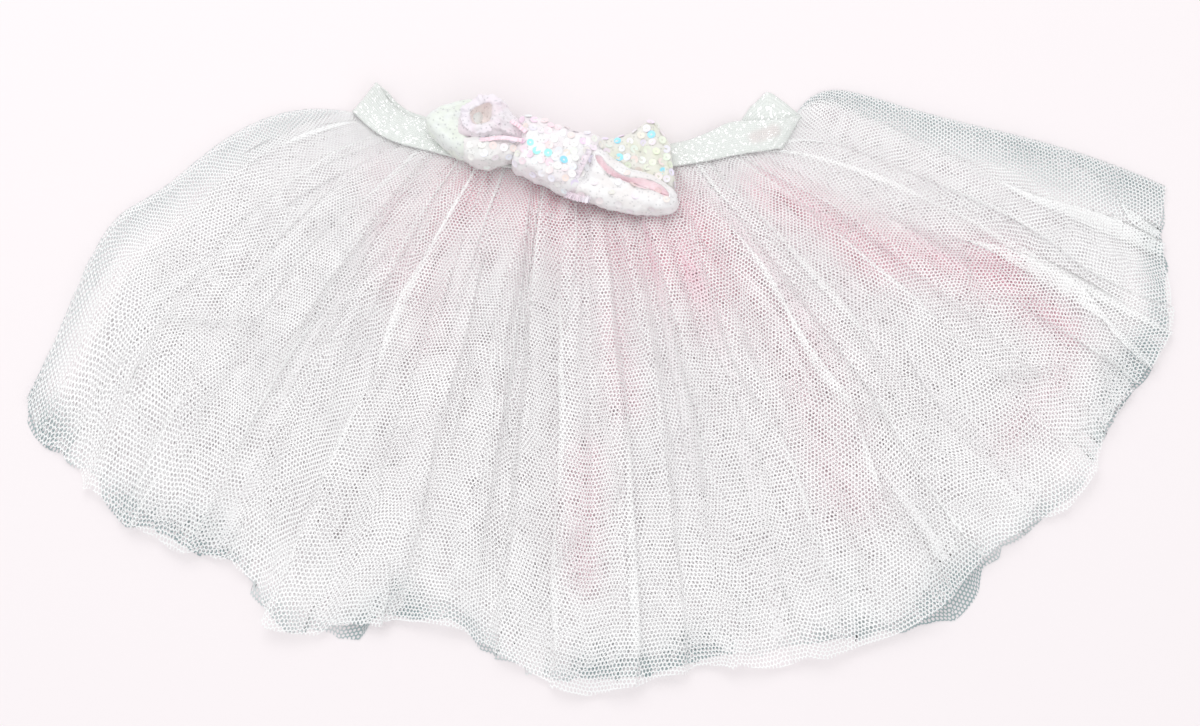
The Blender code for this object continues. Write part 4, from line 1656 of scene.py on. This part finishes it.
@dataclass
class Studio:
    """A pale floor, soft light and the camera."""

    azimuth: float = 0.0
    elevation: float = 80.0
    lens: float = 85.0
    sensor: float = 36.0
    view_width: float = 0.606
    aim: tuple = (0.0, 0.0064, 0.0)
    floor_size: float = 6.0
    floor_colour: tuple = (0.845, 0.797, 0.813)
    sky: float = 0.86
    key: float = 13.0
    fill: float = 3.0

    def floor(self) -> bpy.types.Object:
        """Returns the floor, just under the tutu."""
        bm = bmesh.new()
        bmesh.ops.create_grid(bm, x_segments=1, y_segments=1, size=self.floor_size / 2)
        mesh = mesh_from(bm, "floor")
        obj = bpy.data.objects.new("floor", mesh)
        bpy.context.scene.collection.objects.link(obj)
        weaver = Weaver("floor")
        lit = weaver.add("BsdfPrincipled", Roughness=0.9, Base_Color=(*self.floor_colour, 1.0))
        mesh.materials.append(weaver.finish(lit.outputs[0]))
        return obj

    def lamp(self, name: str, place: tuple, size: float, power: float, colour: tuple) -> None:
        """Adds one square soft light that looks at the tutu's middle."""
        data = bpy.data.lights.new(name, "AREA")
        data.shape = "SQUARE"
        data.size = size
        data.energy = power
        data.color = colour
        obj = bpy.data.objects.new(name, data)
        obj.location = place
        obj.rotation_euler = (-Vector(place)).to_track_quat("-Z", "Y").to_euler()
        bpy.context.scene.collection.objects.link(obj)

    def light(self) -> None:
        """Adds the key light from beyond the waist, a weak fill, and an even sky."""
        self.lamp("key", (-0.30, 0.85, 1.7), 1.3, self.key, (1.0, 1.0, 1.0))
        self.lamp("fill", (0.9, -1.2, 1.6), 1.6, self.fill, (0.97, 0.985, 1.0))
        world = bpy.data.worlds.new("sky")
        world.use_nodes = True
        sky = world.node_tree.nodes["Background"]
        sky.inputs["Color"].default_value = (1.0, 1.0, 1.0, 1.0)
        sky.inputs["Strength"].default_value = self.sky
        scene = bpy.context.scene
        scene.world = world
        scene.view_settings.view_transform = "Standard"
        scene.cycles.transparent_max_bounces = 24
        scene.cycles.max_bounces = 14
        scene.cycles.diffuse_bounces = 6
        scene.cycles.transmission_bounces = 10

    def camera(self) -> bpy.types.Object:
        """Returns the camera, looking down almost squarely on the tutu."""
        data = bpy.data.cameras.new("camera")
        data.lens = self.lens
        data.sensor_width = self.sensor
        data.dof.use_dof = False
        obj = bpy.data.objects.new("camera", data)
        bpy.context.scene.collection.objects.link(obj)
        turn, tilt = radians(self.azimuth), radians(self.elevation)
        back = Vector((sin(turn) * cos(tilt), -cos(turn) * cos(tilt), sin(tilt)))
        obj.location = Vector(self.aim) + back * (self.lens / self.sensor * self.view_width)
        obj.rotation_euler = (-back).to_track_quat("-Z", "Y").to_euler()
        data.clip_start, data.clip_end = 0.05, 20.0
        bpy.context.scene.camera = obj
        return obj


def skirts(plan: Plan) -> list:
    """Returns the three net skirts, outermost first."""
    # The middle net is the same white net as the outer one, painted a little darker as painted shade between
    # the layers.
    white, shaded_white, pink = (0.985, 0.990, 0.988), (0.93, 0.925, 0.93), (0.95, 0.52, 0.62)
    return [
        NetSkirt(
            name="outer_net_gathered", node="outer_net", slot="white_net", plan=plan, seed=11,
            cut=(2.00, 0.255), area=0.38, swept=True, rim=1.0,
            finish=NetFinish(name="white_net", colour=white, blush=white),
            layer=Layer(back=(0.0, 0.05), front=(0.66, 1.0), length=1.0, inset=0.0, ragged=0.0065),
        ),
        NetSkirt(
            name="middle_net_gathered", node="middle_net", slot="white_net", plan=plan, seed=23,
            cut=(1.90, 0.245), area=0.34,
            finish=NetFinish(name="white_net_middle", colour=shaded_white, blush=(0.95, 0.76, 0.82)),
            layer=Layer(back=(0.07, 0.11), front=(0.42, 0.64), length=0.955, inset=0.030, ragged=0.006),
        ),
        NetSkirt(
            name="inner_net_gathered", node="inner_net", slot="pink_net", plan=plan, seed=37,
            cut=(1.70, 0.215), area=0.27,
            finish=NetFinish(name="pink_net", colour=(0.96, 0.94, 0.95), blush=pink),
            layer=Layer(back=(0.13, 0.17), front=(0.20, 0.40), length=0.85, inset=0.034, ragged=0.006),
        ),
    ]


def main() -> None:
    """Builds the tutu and its studio, and reports each piece."""
    logging.basicConfig(level=logging.INFO, format="%(name)s: %(message)s")
    studio = Studio()
    studio.floor()
    studio.light()
    studio.camera()
    plan = Plan.of_frame()
    made = [skirt.build() for skirt in skirts(plan)]
    made.append(Waistband(plan).build())
    made += Bow().build()
    for piece in made:
        LOG.info("%s: %d faces", piece.name, len(piece.data.polygons))


if __name__ == "__main__":
    main()
